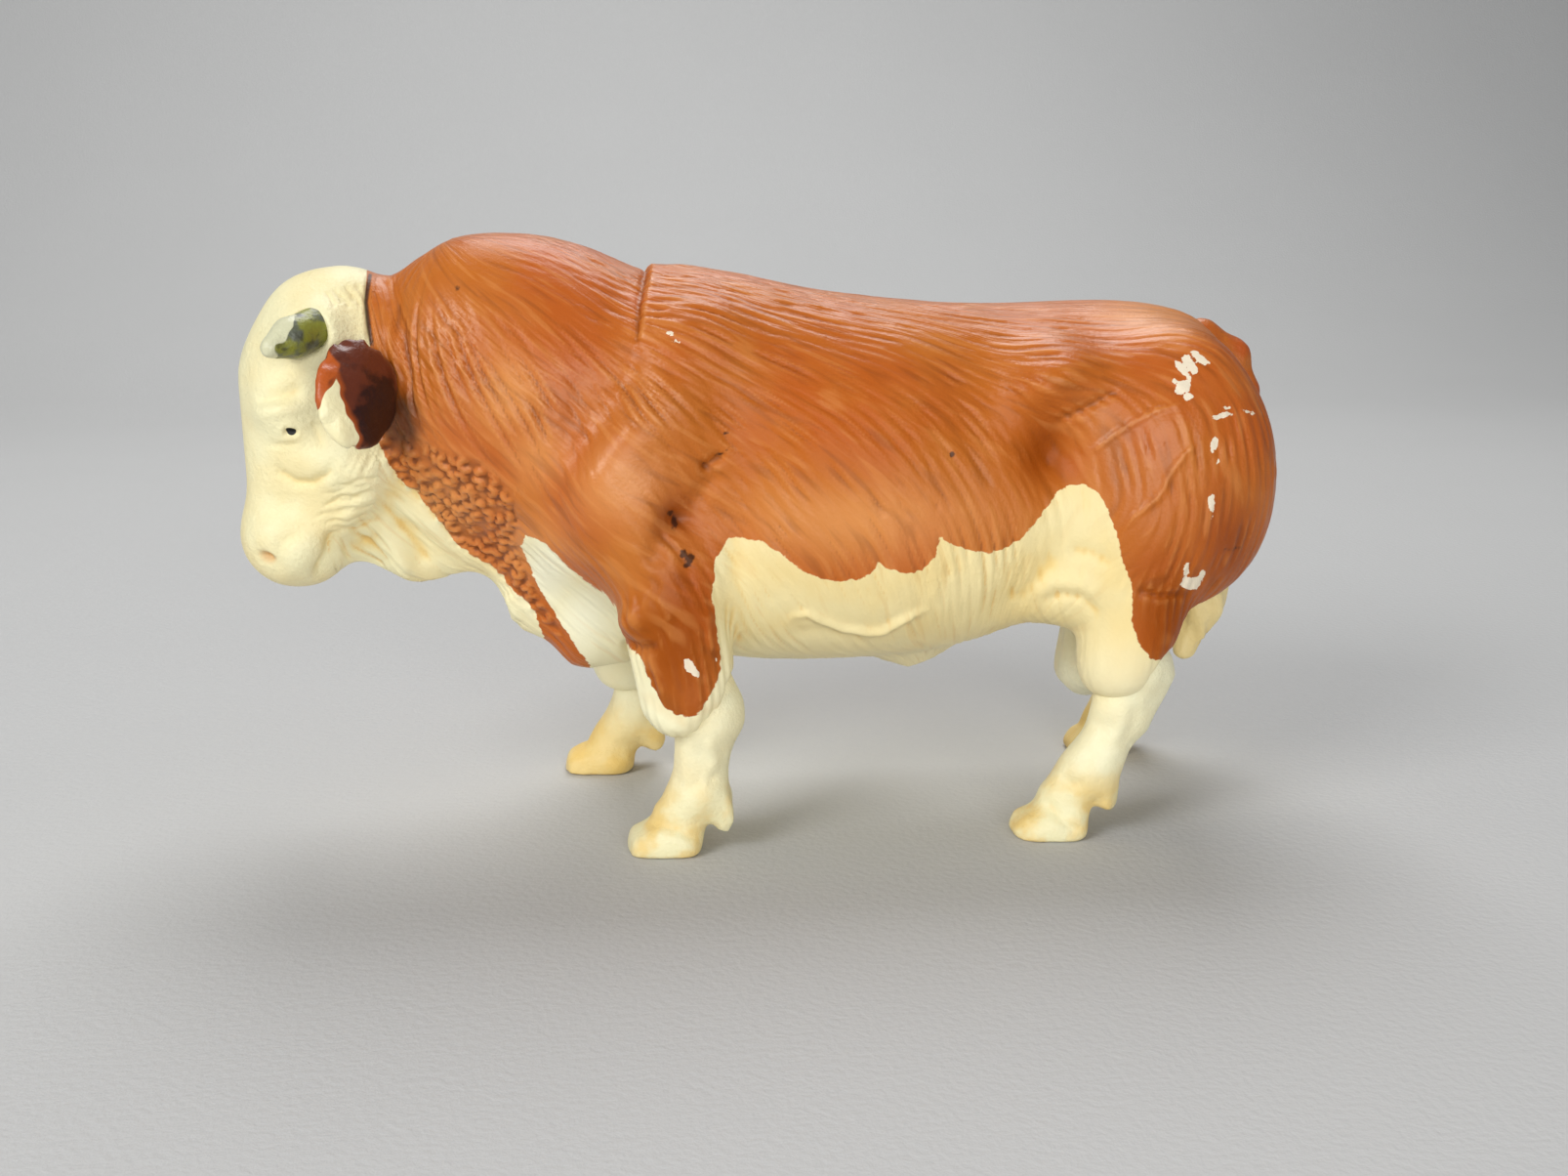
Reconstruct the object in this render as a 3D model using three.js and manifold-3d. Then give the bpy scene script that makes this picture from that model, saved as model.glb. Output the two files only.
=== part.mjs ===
// A moulded bull figurine: separately moulded pieces that plug into one another.
// Millimetres, +Z up. The bull faces -X, its left side is -Y, and it stands on z = 0.
import * as THREE from "three";
import { mergeVertices } from "three/addons/utils/BufferGeometryUtils.js";
import Module from "manifold-3d";

const wasm = await Module();
wasm.setup();

// Driving dimensions: places along the body
const MUZZLE_X = -63.7;
const POLL_X = -57;
const HEAD_SEAM_X = -51;
const CREST_X = -35.1;
const NECK_SEAM_X = -16;
const WITHERS_X = -9.2;
const BARREL_X = 12.3;
const LOIN_X = 27.9;
const CROUP_X = 48;
const RUMP_X = 67.4;

// Driving dimensions: heights above the ground
const POLL_HEIGHT = 75.3;
const CREST_HEIGHT = 79.8;
const WITHERS_HEIGHT = 75.3;
const LOIN_HEIGHT = 70.2;
const CROUP_HEIGHT = 70.5;
const BELLY_HEIGHT = 22;
const FLANK_HEIGHT = 28.6;
const DEWLAP_HEIGHT = 32.7;
const BRISKET_HEIGHT = 21.5;
const MUZZLE_HEIGHT = 40.2;
const EYE_HEIGHT = 56.5;
const JAW_HEIGHT = 49.4;
const SHOULDER_HEIGHT = 53;
const ARM_HEIGHT = 47;
const HIP_HEIGHT = 59.8;
const THIGH_HEIGHT = 48.6;
const STIFLE_HEIGHT = 38;
const EAR_ROOT_HEIGHT = 62.4;

// Driving dimensions: widths and thicknesses
const BARREL_HALF_WIDTH = 22.3;
const CHEST_HALF_WIDTH = 19;
const NECK_HALF_WIDTH = 17.5;
const POLL_HALF_WIDTH = 10;
const MUZZLE_HALF_WIDTH = 7.8;
const DEWLAP_HALF_WIDTH = 4.5;

// Driving dimensions: legs
const FORE_X = -10.4;
const FORE_Y = 17;
const HIND_X = 45.6;
const HIND_Y = 17.2;
const FORE_CANNON_RADIUS = 3.5;
const HIND_CANNON_RADIUS = 3.5;
const HOOF_RADIUS = 3.1;
const FORE_SLEEVE_RADIUS = 6.4;
const HIND_SLEEVE_RADIUS = 6;
const RIGHT_FORE_STEP = -8.5;
const RIGHT_HIND_STEP = 17.6;
const STEP_TOP = 75;
const SLEEVE_STEP = 0.5;
const FORE_RIM_HEIGHT = 14.8;
const STEPPED_FORE_RIM_HEIGHT = 11.4;
const HIND_RIM_HEIGHT = 17.8;
const FORE_PLUG_HEIGHT = 27;
const KNEE_HEIGHT = 18.5;
const HIND_PLUG_HEIGHT = 31;
const HOCK_HEIGHT = 23.4;
const FETLOCK_HEIGHT = 8;

// Driving dimensions: horns, ears and tail
const HORN_LENGTH = 9;
const HORN_RADIUS = 2.6;
const EAR_LENGTH = 15.4;
const EAR_HALF_WIDTH = 6.2;
const EAR_THICKNESS = 3.6;
const TAIL_RADIUS = 2.2;
const SWITCH_RADIUS = 3;

// How the pieces join, and how finely each skin is faceted
const CLEARANCE = 0.3;
const EAR_EDGE_ROOM = 0.25;
const NECK_SPIGOT_HEIGHT = 53;
const NECK_SPIGOT_LENGTH = 12;
const NECK_SPIGOT_RADII = [9, 12];
const HEAD_SPIGOT_HEIGHT = 61;
const HEAD_SPIGOT_LENGTH = 9;
const HEAD_SPIGOT_RADII = [5, 6.5];
const TRUNK_FACET = 3;
const NECK_FACET = 2;
const HEAD_FACET = 2;
const LEG_FACET = 2.2;
const HORN_FACET = 1.3;
const EAR_FACET = 1.5;
const TAIL_FACET = 1.9;
const SCROTUM_FACET = 2;
const ROOM = 300;

const { clamp, smoothstep } = THREE.MathUtils;

// A smooth curve through [place, value] pairs, level past both ends
function through(pairs) {
  const slope = pairs.map((p, i) => {
    const before = pairs[Math.max(i - 1, 0)];
    const after = pairs[Math.min(i + 1, pairs.length - 1)];
    return i === 0 || i === pairs.length - 1 ? 0 : (after[1] - before[1]) / (after[0] - before[0]);
  });
  return (t) => {
    if (t <= pairs[0][0]) return pairs[0][1];
    const i = pairs.findIndex((p) => p[0] > t) - 1;
    if (i < 0) return pairs[pairs.length - 1][1];
    const [[x0, y0], [x1, y1]] = [pairs[i], pairs[i + 1]];
    const span = x1 - x0;
    const s = (t - x0) / span;
    const ease = s * s * (3 - 2 * s);
    const lift = s * (1 - s) * span;
    return y0 + (y1 - y0) * ease + lift * ((1 - s) * slope[i] - s * slope[i + 1]);
  };
}

// Fields: the signed distance from a point to a form, negative inside it.
// Each field knows the box that holds its form.

const within = (field, low, high) => Object.assign(field, { low, high });
const lowest = (boxes) => [0, 1, 2].map((m) => Math.min(...boxes.map((b) => b[m])));
const highest = (boxes) => [0, 1, 2].map((m) => Math.max(...boxes.map((b) => b[m])));

// A form lofted along x between a top line and a bottom line, widest at a share of its height
function loft({ top, bottom, half, widest, round = 2, from, to }) {
  const [topAt, bottomAt, halfAt] = [through(top), through(bottom), through(half)];
  const field = (x, y, z) => {
    const at = Math.min(Math.max(x, from), to);
    const [high, low, wide] = [topAt(at), bottomAt(at), halfAt(at)];
    const level = low + (high - low) * widest;
    const tall = z > level ? high - level : level - low;
    const r = (Math.abs(y / wide) ** round + Math.abs((z - level) / tall) ** round) ** (1 / round);
    const reach = Math.hypot(y, z - level);
    const section = r < 1e-6 ? -Math.min(wide, tall) : reach - reach / r;
    const past = Math.abs(x - at);
    return past > 0 ? Math.hypot(Math.max(section, 0), past) : section;
  };
  const values = (pairs) => pairs.map((pair) => pair[1]);
  const wide = Math.max(...values(half));
  const low = Math.min(...values(bottom));
  const high = Math.max(...values(top));
  return within(field, [from, -wide, low], [to, wide, high]);
}

// An ellipsoid, leaned about the y axis
function ball([cx, cy, cz], [rx, ry, rz], lean = 0) {
  const [c, s] = [Math.cos(lean), Math.sin(lean)];
  const field = (x, y, z) => {
    const [dx, dy, dz] = [x - cx, y - cy, z - cz];
    const [px, py, pz] = [(dx * c - dz * s) / rx, dy / ry, (dx * s + dz * c) / rz];
    const near = Math.hypot(px, py, pz);
    return near < 1e-6 ? -Math.min(rx, ry, rz) : (near * (near - 1)) / Math.hypot(px / rx, py / ry, pz / rz);
  };
  const wide = lean ? Math.max(rx, rz) : rx;
  const tall = lean ? wide : rz;
  return within(field, [cx - wide, cy - ry, cz - tall], [cx + wide, cy + ry, cz + tall]);
}

// A tapered rod with round ends
function rod(a, b, ra, rb) {
  const axis = [b[0] - a[0], b[1] - a[1], b[2] - a[2]];
  const square = axis[0] ** 2 + axis[1] ** 2 + axis[2] ** 2;
  const field = (x, y, z) => {
    const [dx, dy, dz] = [x - a[0], y - a[1], z - a[2]];
    const along = (dx * axis[0] + dy * axis[1] + dz * axis[2]) / square;
    const t = Math.min(Math.max(along, 0), 1);
    return Math.hypot(dx - axis[0] * t, dy - axis[1] * t, dz - axis[2] * t) - (ra + (rb - ra) * t);
  };
  const reach = (end, r, way) => [0, 1, 2].map((m) => end[m] + way * r);
  const ends = (way) => [reach(a, ra, way), reach(b, rb, way)];
  return within(field, lowest(ends(-1)), highest(ends(1)));
}

// A chain of tapered rods through [x, y, z, radius] joints
function chain(joints, blend) {
  const rods = joints.slice(1).map((b, i) => rod(joints[i], b, joints[i][3], b[3]));
  return union(blend, ...rods);
}

// Forms melted together over a blend width
function union(blend, ...forms) {
  const field = (x, y, z) => {
    let d = forms[0](x, y, z);
    for (let i = 1; i < forms.length; i++) {
      const e = forms[i](x, y, z);
      const h = Math.max(blend - Math.abs(d - e), 0) / blend;
      d = Math.min(d, e) - (h * h * blend) / 4;
    }
    return d;
  };
  const swell = (box, way) => box.map((v) => v + (way * blend) / 4);
  const low = lowest(forms.map((f) => f.low));
  const high = highest(forms.map((f) => f.high));
  return within(field, swell(low, -1), swell(high, 1));
}

// A swelling in side view, or a hollow where its rise is negative
function swelling([x, z], [halfLength, halfHeight], lean, rise) {
  const [c, s] = [Math.cos(lean), Math.sin(lean)];
  return (px, pz) => {
    const [dx, dz] = [px - x, pz - z];
    const [u, v] = [(dx * c + dz * s) / halfLength, (dz * c - dx * s) / halfHeight];
    return rise * Math.exp(-u * u - v * v);
  };
}

// A ridge along a broken line in side view, or a groove where its rise is negative
function fold(line, halfWidth, rise) {
  return (px, pz) => {
    let gap = Infinity;
    for (let i = 1; i < line.length; i++) {
      const [[ax, az], [bx, bz]] = [line[i - 1], line[i]];
      const [lx, lz] = [bx - ax, bz - az];
      const along = clamp(((px - ax) * lx + (pz - az) * lz) / (lx * lx + lz * lz), 0, 1);
      gap = Math.min(gap, Math.hypot(px - ax - lx * along, pz - az - lz * along));
    }
    return rise * Math.exp(-((gap / halfWidth) ** 2));
  };
}

// A form with relief on its flanks, from none at the first distance off the middle to full at the second
function embossed(form, marks, [first, second]) {
  const field = (x, y, z) => {
    const d = form(x, y, z);
    const share = smoothstep(Math.abs(y), first, second);
    if (share === 0 || Math.abs(d) > 2 * NECK_FACET + 4) return d;
    const near = y > 0 ? x - stepAt(x, z) : x;
    return marks.reduce((left, mark) => left - share * mark(near, z), d);
  };
  return within(field, form.low.map((v) => v - 1.5), form.high.map((v) => v + 1.5));
}

// How far the right legs have carried the flank forward or back
function stepAt(x, z) {
  const step = x < BARREL_X ? RIGHT_FORE_STEP : RIGHT_HIND_STEP;
  return step * (1 - z / STEP_TOP) * (1 - smoothstep(z, STIFLE_HEIGHT, SHOULDER_HEIGHT - 3));
}

// The same form on the left and on the right
function both(form) {
  const field = (x, y, z) => form(x, -Math.abs(y), z);
  const side = Math.max(-form.low[1], form.high[1]);
  return within(field, [form.low[0], -side, form.low[2]], [form.high[0], side, form.high[2]]);
}

// The form grown all round, as its socket needs
function grown(form, by) {
  return within((x, y, z) => form(x, y, z) - by, form.low.map((v) => v - by), form.high.map((v) => v + by));
}

// Meshes and solids

// The corners, edges and faces of a grid cell; a corner's three bits say on which side it lies
const CORNERS = [...Array(8).keys()];
const EDGES = CORNERS.flatMap((p) => [1, 2, 4].filter((bit) => !(p & bit)).map((bit) => [p, p | bit]));
const FACES = [1, 2, 4].flatMap((bit) =>
  [0, bit].map((side) => EDGES.flatMap(([p, q], e) => ((p & bit) === side && (q & bit) === side ? [e] : []))),
);
const bitsOf = (corner) => [corner & 1, (corner >> 1) & 1, (corner >> 2) & 1];

// The sheets of surface in one cell, as lists of the edges that each sheet crosses
function sheetsIn(inside) {
  const crossed = EDGES.map(([p, q]) => inside[p] !== inside[q]);
  const sheet = EDGES.map((edge, e) => e);
  const join = (a, b) => {
    const [kept, lost] = [sheet[a], sheet[b]];
    sheet.forEach((label, e) => (sheet[e] = label === lost ? kept : label));
  };
  for (const face of FACES) {
    const cut = face.filter((e) => crossed[e]);
    if (cut.length === 2) join(cut[0], cut[1]);
    if (cut.length !== 4) continue;
    for (const corner of CORNERS.filter((c) => inside[c])) {
      const touching = cut.filter((e) => EDGES[e].includes(corner));
      if (touching.length === 2) join(touching[0], touching[1]);
    }
  }
  const labels = new Set(sheet.filter((label, e) => crossed[e]));
  const edgesOf = (label) => EDGES.flatMap((edge, e) => (crossed[e] && sheet[e] === label ? [e] : []));
  return [...labels].map(edgesOf);
}

// The closed skin of a field: one point for each sheet of surface in a grid cell
function skin(field, facet) {
  const low = field.low.map((v) => (Math.floor(v / facet) - 1.5) * facet);
  const count = field.high.map((v, m) => Math.ceil((v - low[m]) / facet) + 2);
  const place = (cell, m) => low[m] + cell * facet;
  const index = (i, j, k) => (k * count[1] + j) * count[0] + i;
  const value = new Float32Array(count[0] * count[1] * count[2]);
  const cells = [];
  for (let k = 0; k < count[2]; k++)
    for (let j = 0; j < count[1]; j++)
      for (let i = 0; i < count[0]; i++) {
        value[index(i, j, k)] = field(place(i, 0), place(j, 1), place(k, 2));
        cells.push([i, j, k]);
      }

  const points = [];
  const pointOf = new Map();
  for (const cell of cells) {
    if (cell.some((v, m) => v + 1 >= count[m])) continue;
    const corner = CORNERS.map((c) => value[index(...bitsOf(c).map((bit, m) => cell[m] + bit))]);
    const inside = corner.map((v) => v < 0);
    if (inside.every((v) => v === inside[0])) continue;
    for (const sheet of sheetsIn(inside)) {
      const sum = [0, 0, 0];
      for (const e of sheet) {
        const [a, b] = EDGES[e].map(bitsOf);
        const t = corner[EDGES[e][0]] / (corner[EDGES[e][0]] - corner[EDGES[e][1]]);
        sum.forEach((v, m) => (sum[m] = v + (a[m] + (b[m] - a[m]) * t) / sheet.length));
        pointOf.set(index(...cell) * EDGES.length + e, points.length / 3);
      }
      points.push(...settle(field, cell.map((c, m) => place(c + sum[m], m)), facet));
    }
  }

  const faces = [];
  for (const here of cells) {
    if (here.some((v, m) => v === 0 || v + 1 >= count[m])) continue;
    const inside = value[index(...here)] < 0;
    for (let axis = 0; axis < 3; axis++) {
      const next = here.map((v, m) => v + (m === axis ? 1 : 0));
      if (inside === value[index(...next)] < 0) continue;
      const [u, w] = [(axis + 1) % 3, (axis + 2) % 3];
      const around = [[0, 0], [1, 0], [1, 1], [0, 1]].map(([du, dw]) => {
        const cell = here.map((v, m) => v - (m === u ? du : 0) - (m === w ? dw : 0));
        const start = (du << u) | (dw << w);
        const edge = EDGES.findIndex(([p, q]) => p === start && q === (start | (1 << axis)));
        return pointOf.get(index(...cell) * EDGES.length + edge);
      });
      faces.push(...quad(points, inside ? around : around.reverse()));
    }
  }
  return solidFrom(points, faces);
}

// A point moved onto the surface along the field's slope, by at most half a facet
function settle(field, start, facet) {
  const p = [...start];
  const probe = facet / 20;
  for (let pass = 0; pass < 3; pass++) {
    const d = field(...p);
    const slope = p.map((v, m) => {
      const q = [...p];
      q[m] += probe;
      return (field(...q) - d) / probe;
    });
    const square = slope.reduce((n, s) => n + s * s, 0);
    if (square < 1e-9) break;
    const step = clamp(d / square, -facet / 4, facet / 4);
    start.forEach((v, m) => (p[m] = clamp(p[m] - step * slope[m], v - facet / 2, v + facet / 2)));
  }
  return p;
}

// Two triangles for four corners, split along the shorter diagonal
function quad(points, [a, b, c, d]) {
  const gap = (p, q) => Math.hypot(...[0, 1, 2].map((m) => points[3 * p + m] - points[3 * q + m]));
  return gap(a, c) < gap(b, d) ? [a, b, c, a, c, d] : [a, b, d, b, c, d];
}

function solidFrom(points, faces) {
  const mesh = new wasm.Mesh({
    numProp: 3,
    vertProperties: new Float32Array(points),
    triVerts: new Uint32Array(faces),
  });
  return new wasm.Manifold(mesh);
}

function solidOf(geometry) {
  const bare = geometry.clone();
  bare.deleteAttribute("normal");
  bare.deleteAttribute("uv");
  const merged = mergeVertices(bare, 1e-4);
  return solidFrom(merged.attributes.position.array, merged.index.array);
}

function geometryOf(solid) {
  const { vertProperties, triVerts, numProp, numVert } = solid.getMesh();
  const position = new Float32Array(numVert * 3);
  for (let i = 0; i < numVert; i++) {
    const start = i * numProp;
    position.set(vertProperties.subarray(start, start + 3), i * 3);
  }
  const geometry = new THREE.BufferGeometry();
  geometry.setAttribute("position", new THREE.BufferAttribute(position, 3));
  geometry.setIndex(new THREE.BufferAttribute(new Uint32Array(triVerts), 1));
  geometry.computeVertexNormals();
  return geometry;
}

// Everything on the head's side of a seam line drawn in side view from top to bottom
function aheadOf(seam, backOff) {
  const shape = new THREE.Shape();
  shape.moveTo(-ROOM, ROOM);
  const line = new THREE.SplineCurve(seam.map(([x, z]) => new THREE.Vector2(x - backOff, z)));
  shape.lineTo(seam[0][0] - backOff, ROOM);
  line.getPoints(seam.length * 3).forEach((p) => shape.lineTo(p.x, p.y));
  shape.lineTo(seam[seam.length - 1][0] - backOff, -ROOM);
  shape.lineTo(-ROOM, -ROOM);
  const block = new THREE.ExtrudeGeometry(shape, { depth: ROOM, bevelEnabled: false });
  block.translate(0, 0, -ROOM / 2);
  block.rotateX(Math.PI / 2);
  return solidOf(block);
}

// An oval peg along x that plugs one piece into the next
function spigot(from, to, height, [halfWidth, halfHeight], extra) {
  const oval = new THREE.Shape();
  oval.absellipse(0, 0, halfHeight + extra, halfWidth + extra, 0, 2 * Math.PI);
  const depth = to + extra - from;
  const peg = new THREE.ExtrudeGeometry(oval, { depth, bevelEnabled: false, curveSegments: 10 });
  peg.rotateY(Math.PI / 2);
  peg.translate(from, 0, height);
  return solidOf(peg);
}

// The trunk: torso, neck and the upper legs

const torso = loft({
  top: [
    [NECK_SEAM_X - 14, WITHERS_HEIGHT - 6],
    [NECK_SEAM_X - 2, WITHERS_HEIGHT - 2],
    [WITHERS_X - 3, WITHERS_HEIGHT],
    [WITHERS_X + 4, WITHERS_HEIGHT - 0.6],
    [BARREL_X - 4, (WITHERS_HEIGHT + LOIN_HEIGHT) / 2 - 0.7],
    [LOIN_X, LOIN_HEIGHT],
    [CROUP_X, CROUP_HEIGHT],
    [RUMP_X - 10, CROUP_HEIGHT - 1.4],
    [RUMP_X - 5, CROUP_HEIGHT - 5],
    [RUMP_X - 1, CROUP_HEIGHT - 12],
  ],
  bottom: [
    [NECK_SEAM_X - 14, BELLY_HEIGHT + 12],
    [NECK_SEAM_X, BELLY_HEIGHT + 3.6],
    [WITHERS_X + 5, BELLY_HEIGHT + 0.4],
    [BARREL_X, BELLY_HEIGHT],
    [LOIN_X - 4, BELLY_HEIGHT + 1],
    [LOIN_X + 8, FLANK_HEIGHT - 2],
    [CROUP_X, FLANK_HEIGHT + 2],
    [RUMP_X - 10, FLANK_HEIGHT + 6],
    [RUMP_X - 1, FLANK_HEIGHT + 18],
  ],
  half: [
    [NECK_SEAM_X - 14, CHEST_HALF_WIDTH - 5],
    [NECK_SEAM_X, CHEST_HALF_WIDTH],
    [BARREL_X, BARREL_HALF_WIDTH],
    [LOIN_X, BARREL_HALF_WIDTH - 1],
    [CROUP_X, BARREL_HALF_WIDTH - 4],
    [RUMP_X - 10, BARREL_HALF_WIDTH - 6],
    [RUMP_X - 1, BARREL_HALF_WIDTH - 16],
  ],
  widest: 0.42,
  round: 2.25,
  from: NECK_SEAM_X - 14,
  to: RUMP_X - 1.5,
});

const neck = loft({
  top: [
    [HEAD_SEAM_X - 6, POLL_HEIGHT - 4],
    [HEAD_SEAM_X + 1, POLL_HEIGHT - 1.4],
    [HEAD_SEAM_X + 5, POLL_HEIGHT + 1],
    [CREST_X - 6, CREST_HEIGHT - 0.7],
    [CREST_X, CREST_HEIGHT],
    [CREST_X + 8, CREST_HEIGHT - 1],
    [NECK_SEAM_X - 2, CREST_HEIGHT - 4.6],
    [NECK_SEAM_X + 4, CREST_HEIGHT - 9],
  ],
  bottom: [
    [HEAD_SEAM_X - 6, JAW_HEIGHT + 2],
    [HEAD_SEAM_X + 5, JAW_HEIGHT - 5],
    [CREST_X, JAW_HEIGHT - 11],
    [NECK_SEAM_X - 8, BELLY_HEIGHT + 9],
    [NECK_SEAM_X + 4, BELLY_HEIGHT + 8],
  ],
  half: [
    [HEAD_SEAM_X - 6, POLL_HALF_WIDTH - 0.5],
    [HEAD_SEAM_X + 1, POLL_HALF_WIDTH + 1],
    [HEAD_SEAM_X + 9, NECK_HALF_WIDTH - 2.3],
    [CREST_X + 4, NECK_HALF_WIDTH],
    [NECK_SEAM_X - 4, NECK_HALF_WIDTH + 1.3],
  ],
  widest: 0.5,
  round: 2.1,
  from: HEAD_SEAM_X - 6,
  to: NECK_SEAM_X + 4,
});

const dewlap = loft({
  top: [
    [HEAD_SEAM_X - 7, JAW_HEIGHT - 2],
    [CREST_X, JAW_HEIGHT + 2],
    [NECK_SEAM_X, JAW_HEIGHT - 6],
  ],
  bottom: [
    [HEAD_SEAM_X - 7, DEWLAP_HEIGHT + 4],
    [HEAD_SEAM_X - 3, DEWLAP_HEIGHT + 3.2],
    [HEAD_SEAM_X + 3, DEWLAP_HEIGHT],
    [CREST_X - 6, DEWLAP_HEIGHT + 1.6],
    [CREST_X - 2.5, DEWLAP_HEIGHT + 0.4],
    [CREST_X + 1, BRISKET_HEIGHT + 4.4],
    [CREST_X + 4, BRISKET_HEIGHT + 4.2],
    [CREST_X + 9, BRISKET_HEIGHT],
    [NECK_SEAM_X, BRISKET_HEIGHT],
  ],
  half: [
    [HEAD_SEAM_X - 7, DEWLAP_HALF_WIDTH],
    [HEAD_SEAM_X + 6, DEWLAP_HALF_WIDTH + 0.3],
    [CREST_X, DEWLAP_HALF_WIDTH + 2.5],
    [NECK_SEAM_X, DEWLAP_HALF_WIDTH + 7],
  ],
  widest: 0.75,
  round: 1.6,
  from: HEAD_SEAM_X - 7,
  to: NECK_SEAM_X + 2,
});

const shoulder = ball([WITHERS_X - 6.4, -12.5, SHOULDER_HEIGHT], [10.5, 8.6, 18], 0.36);
const armPoint = ball([WITHERS_X - 12.4, -14.4, ARM_HEIGHT], [6, 6.6, 7]);
const hipBone = ball([CROUP_X - 10.5, -14, HIP_HEIGHT], [7, 5, 5.4]);
const thigh = ball([CROUP_X + 6, -13, THIGH_HEIGHT], [13.2, 9.8, 18.4], -0.12);
const stifle = ball([CROUP_X - 4, -14.5, STIFLE_HEIGHT], [6.5, 6, 9]);
const flank = ball([CROUP_X - 7.4, -13.5, FLANK_HEIGHT + 5.5], [7, 5, 4.5]);
const navelFold = ball([BARREL_X + 7.5, 0, BELLY_HEIGHT + 2.6], [8, 2.4, 3.7], 0.12);

// Legs: each is a sleeve on the trunk and a lower leg that plugs into it

// A leg joint, carried forward or back by the leg's step, less so the higher it is
function joint(leg, x, y, z, radius) {
  return [leg.x + x + leg.step * (1 - z / STEP_TOP), leg.side * (leg.y + y), z, radius];
}

function foreSleeve(leg) {
  return [
    joint(leg, -7.5, -2, ARM_HEIGHT - 2, FORE_SLEEVE_RADIUS + 1.6),
    joint(leg, -3.6, -0.8, ARM_HEIGHT - 12, FORE_SLEEVE_RADIUS + 0.9),
    joint(leg, -1.6, -0.2, leg.rim + FORE_SLEEVE_RADIUS, FORE_SLEEVE_RADIUS),
  ];
}

function hindSleeve(leg) {
  return [
    joint(leg, 4, -2.6, STIFLE_HEIGHT + 2, HIND_SLEEVE_RADIUS + 3),
    joint(leg, 2.6, -1.6, STIFLE_HEIGHT - 4, HIND_SLEEVE_RADIUS + 1.6),
    joint(leg, 0.4, -0.3, leg.rim + HIND_SLEEVE_RADIUS, HIND_SLEEVE_RADIUS),
  ];
}

// The root of a sleeve melts into the trunk, and the rest of it hangs free
const sleeveRoot = (leg) => grown(chain(leg.sleeve(leg).slice(0, 2), 2), -SLEEVE_STEP);
const sleeveEnd = (leg) => chain(leg.sleeve(leg).slice(1), 2);

function foreShank(leg) {
  const r = FORE_CANNON_RADIUS;
  const bone = chain(
    [
      joint(leg, -0.6, 0, FORE_PLUG_HEIGHT, r),
      joint(leg, 0.9, 0, KNEE_HEIGHT, r + 1.2),
      joint(leg, 0.1, 0, KNEE_HEIGHT - 5.5, r - 0.1),
      joint(leg, -0.4, 0, FETLOCK_HEIGHT - 0.4, r + 0.3),
      joint(leg, -3.6, 0, 4.2, r - 0.3),
    ],
    1.5,
  );
  return union(1.2, bone, hoof(leg, -2.8, -7.7), dewclaws(leg, 2.9, 5));
}

function hindShank(leg) {
  const r = HIND_CANNON_RADIUS;
  const bone = chain(
    [
      joint(leg, 1.4, 0, HIND_PLUG_HEIGHT, r),
      joint(leg, 2, 0, HOCK_HEIGHT, r + 1),
      joint(leg, 0.6, 0, HOCK_HEIGHT - 5.9, r),
      joint(leg, -2.2, 0, FETLOCK_HEIGHT + 2.5, r - 0.1),
      joint(leg, -3.6, 0, FETLOCK_HEIGHT + 0.4, r + 0.3),
      joint(leg, -7.6, 0, 4.4, r - 0.3),
    ],
    1.5,
  );
  const hockPoint = rod(joint(leg, 5.8, 0, HOCK_HEIGHT - 0.8), joint(leg, 2.4, 0, HOCK_HEIGHT - 8.4), 2.4, 2.2);
  return union(1.2, bone, hockPoint, hoof(leg, -6.8, -11.5), dewclaws(leg, -1.4, 5.6));
}

// Two claws side by side, from heel to toe, with a shallow cleft between them
function hoof(leg, heel, toe) {
  const claw = (out) => {
    const [back, front] = [joint(leg, heel, out, 1.5), joint(leg, toe, out * 0.9, 0.7)];
    return rod(back, front, HOOF_RADIUS, HOOF_RADIUS - 0.6);
  };
  return union(2, claw(-1.9), claw(1.9));
}

function dewclaws(leg, x, z) {
  const claw = (out) => ball(joint(leg, x, out, z).slice(0, 3), [1.8, 1.7, 2.8]);
  return union(0.6, claw(-1.9), claw(1.9));
}

const FORE = { x: FORE_X, y: FORE_Y, sleeve: foreSleeve, shank: foreShank };
const HIND = { x: HIND_X, y: HIND_Y, sleeve: hindSleeve, shank: hindShank };
const legs = [
  { ...FORE, name: "left_foreleg", side: -1, step: 0, rim: FORE_RIM_HEIGHT },
  { ...FORE, name: "right_foreleg", side: 1, step: RIGHT_FORE_STEP, rim: STEPPED_FORE_RIM_HEIGHT },
  { ...HIND, name: "left_hind_leg", side: -1, step: 0, rim: HIND_RIM_HEIGHT },
  { ...HIND, name: "right_hind_leg", side: 1, step: RIGHT_HIND_STEP, rim: HIND_RIM_HEIGHT },
];

// The head

const cranium = ball([POLL_X - 0.6, 0, POLL_HEIGHT - 10.8], [9.4, POLL_HALF_WIDTH, 10.8], -0.12);
const poll = ball([POLL_X + 2.6, 0, POLL_HEIGHT - 3.6], [4, 6.5, 3.6]);
const burr = ball([POLL_X - 0.8, -9, POLL_HEIGHT - 7.4], [3.6, 3, 3.4]);
const face = rod([POLL_X - 3.5, 0, EYE_HEIGHT + 4.5], [MUZZLE_X + 1.4, 0, MUZZLE_HEIGHT + 4], 9, 7);
const muzzle = ball([MUZZLE_X, 0, MUZZLE_HEIGHT], [7, MUZZLE_HALF_WIDTH, 6.4]);
const chin = ball([MUZZLE_X + 0.8, 0, MUZZLE_HEIGHT - 3.4], [4.4, MUZZLE_HALF_WIDTH - 2.4, 3.1]);
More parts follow.
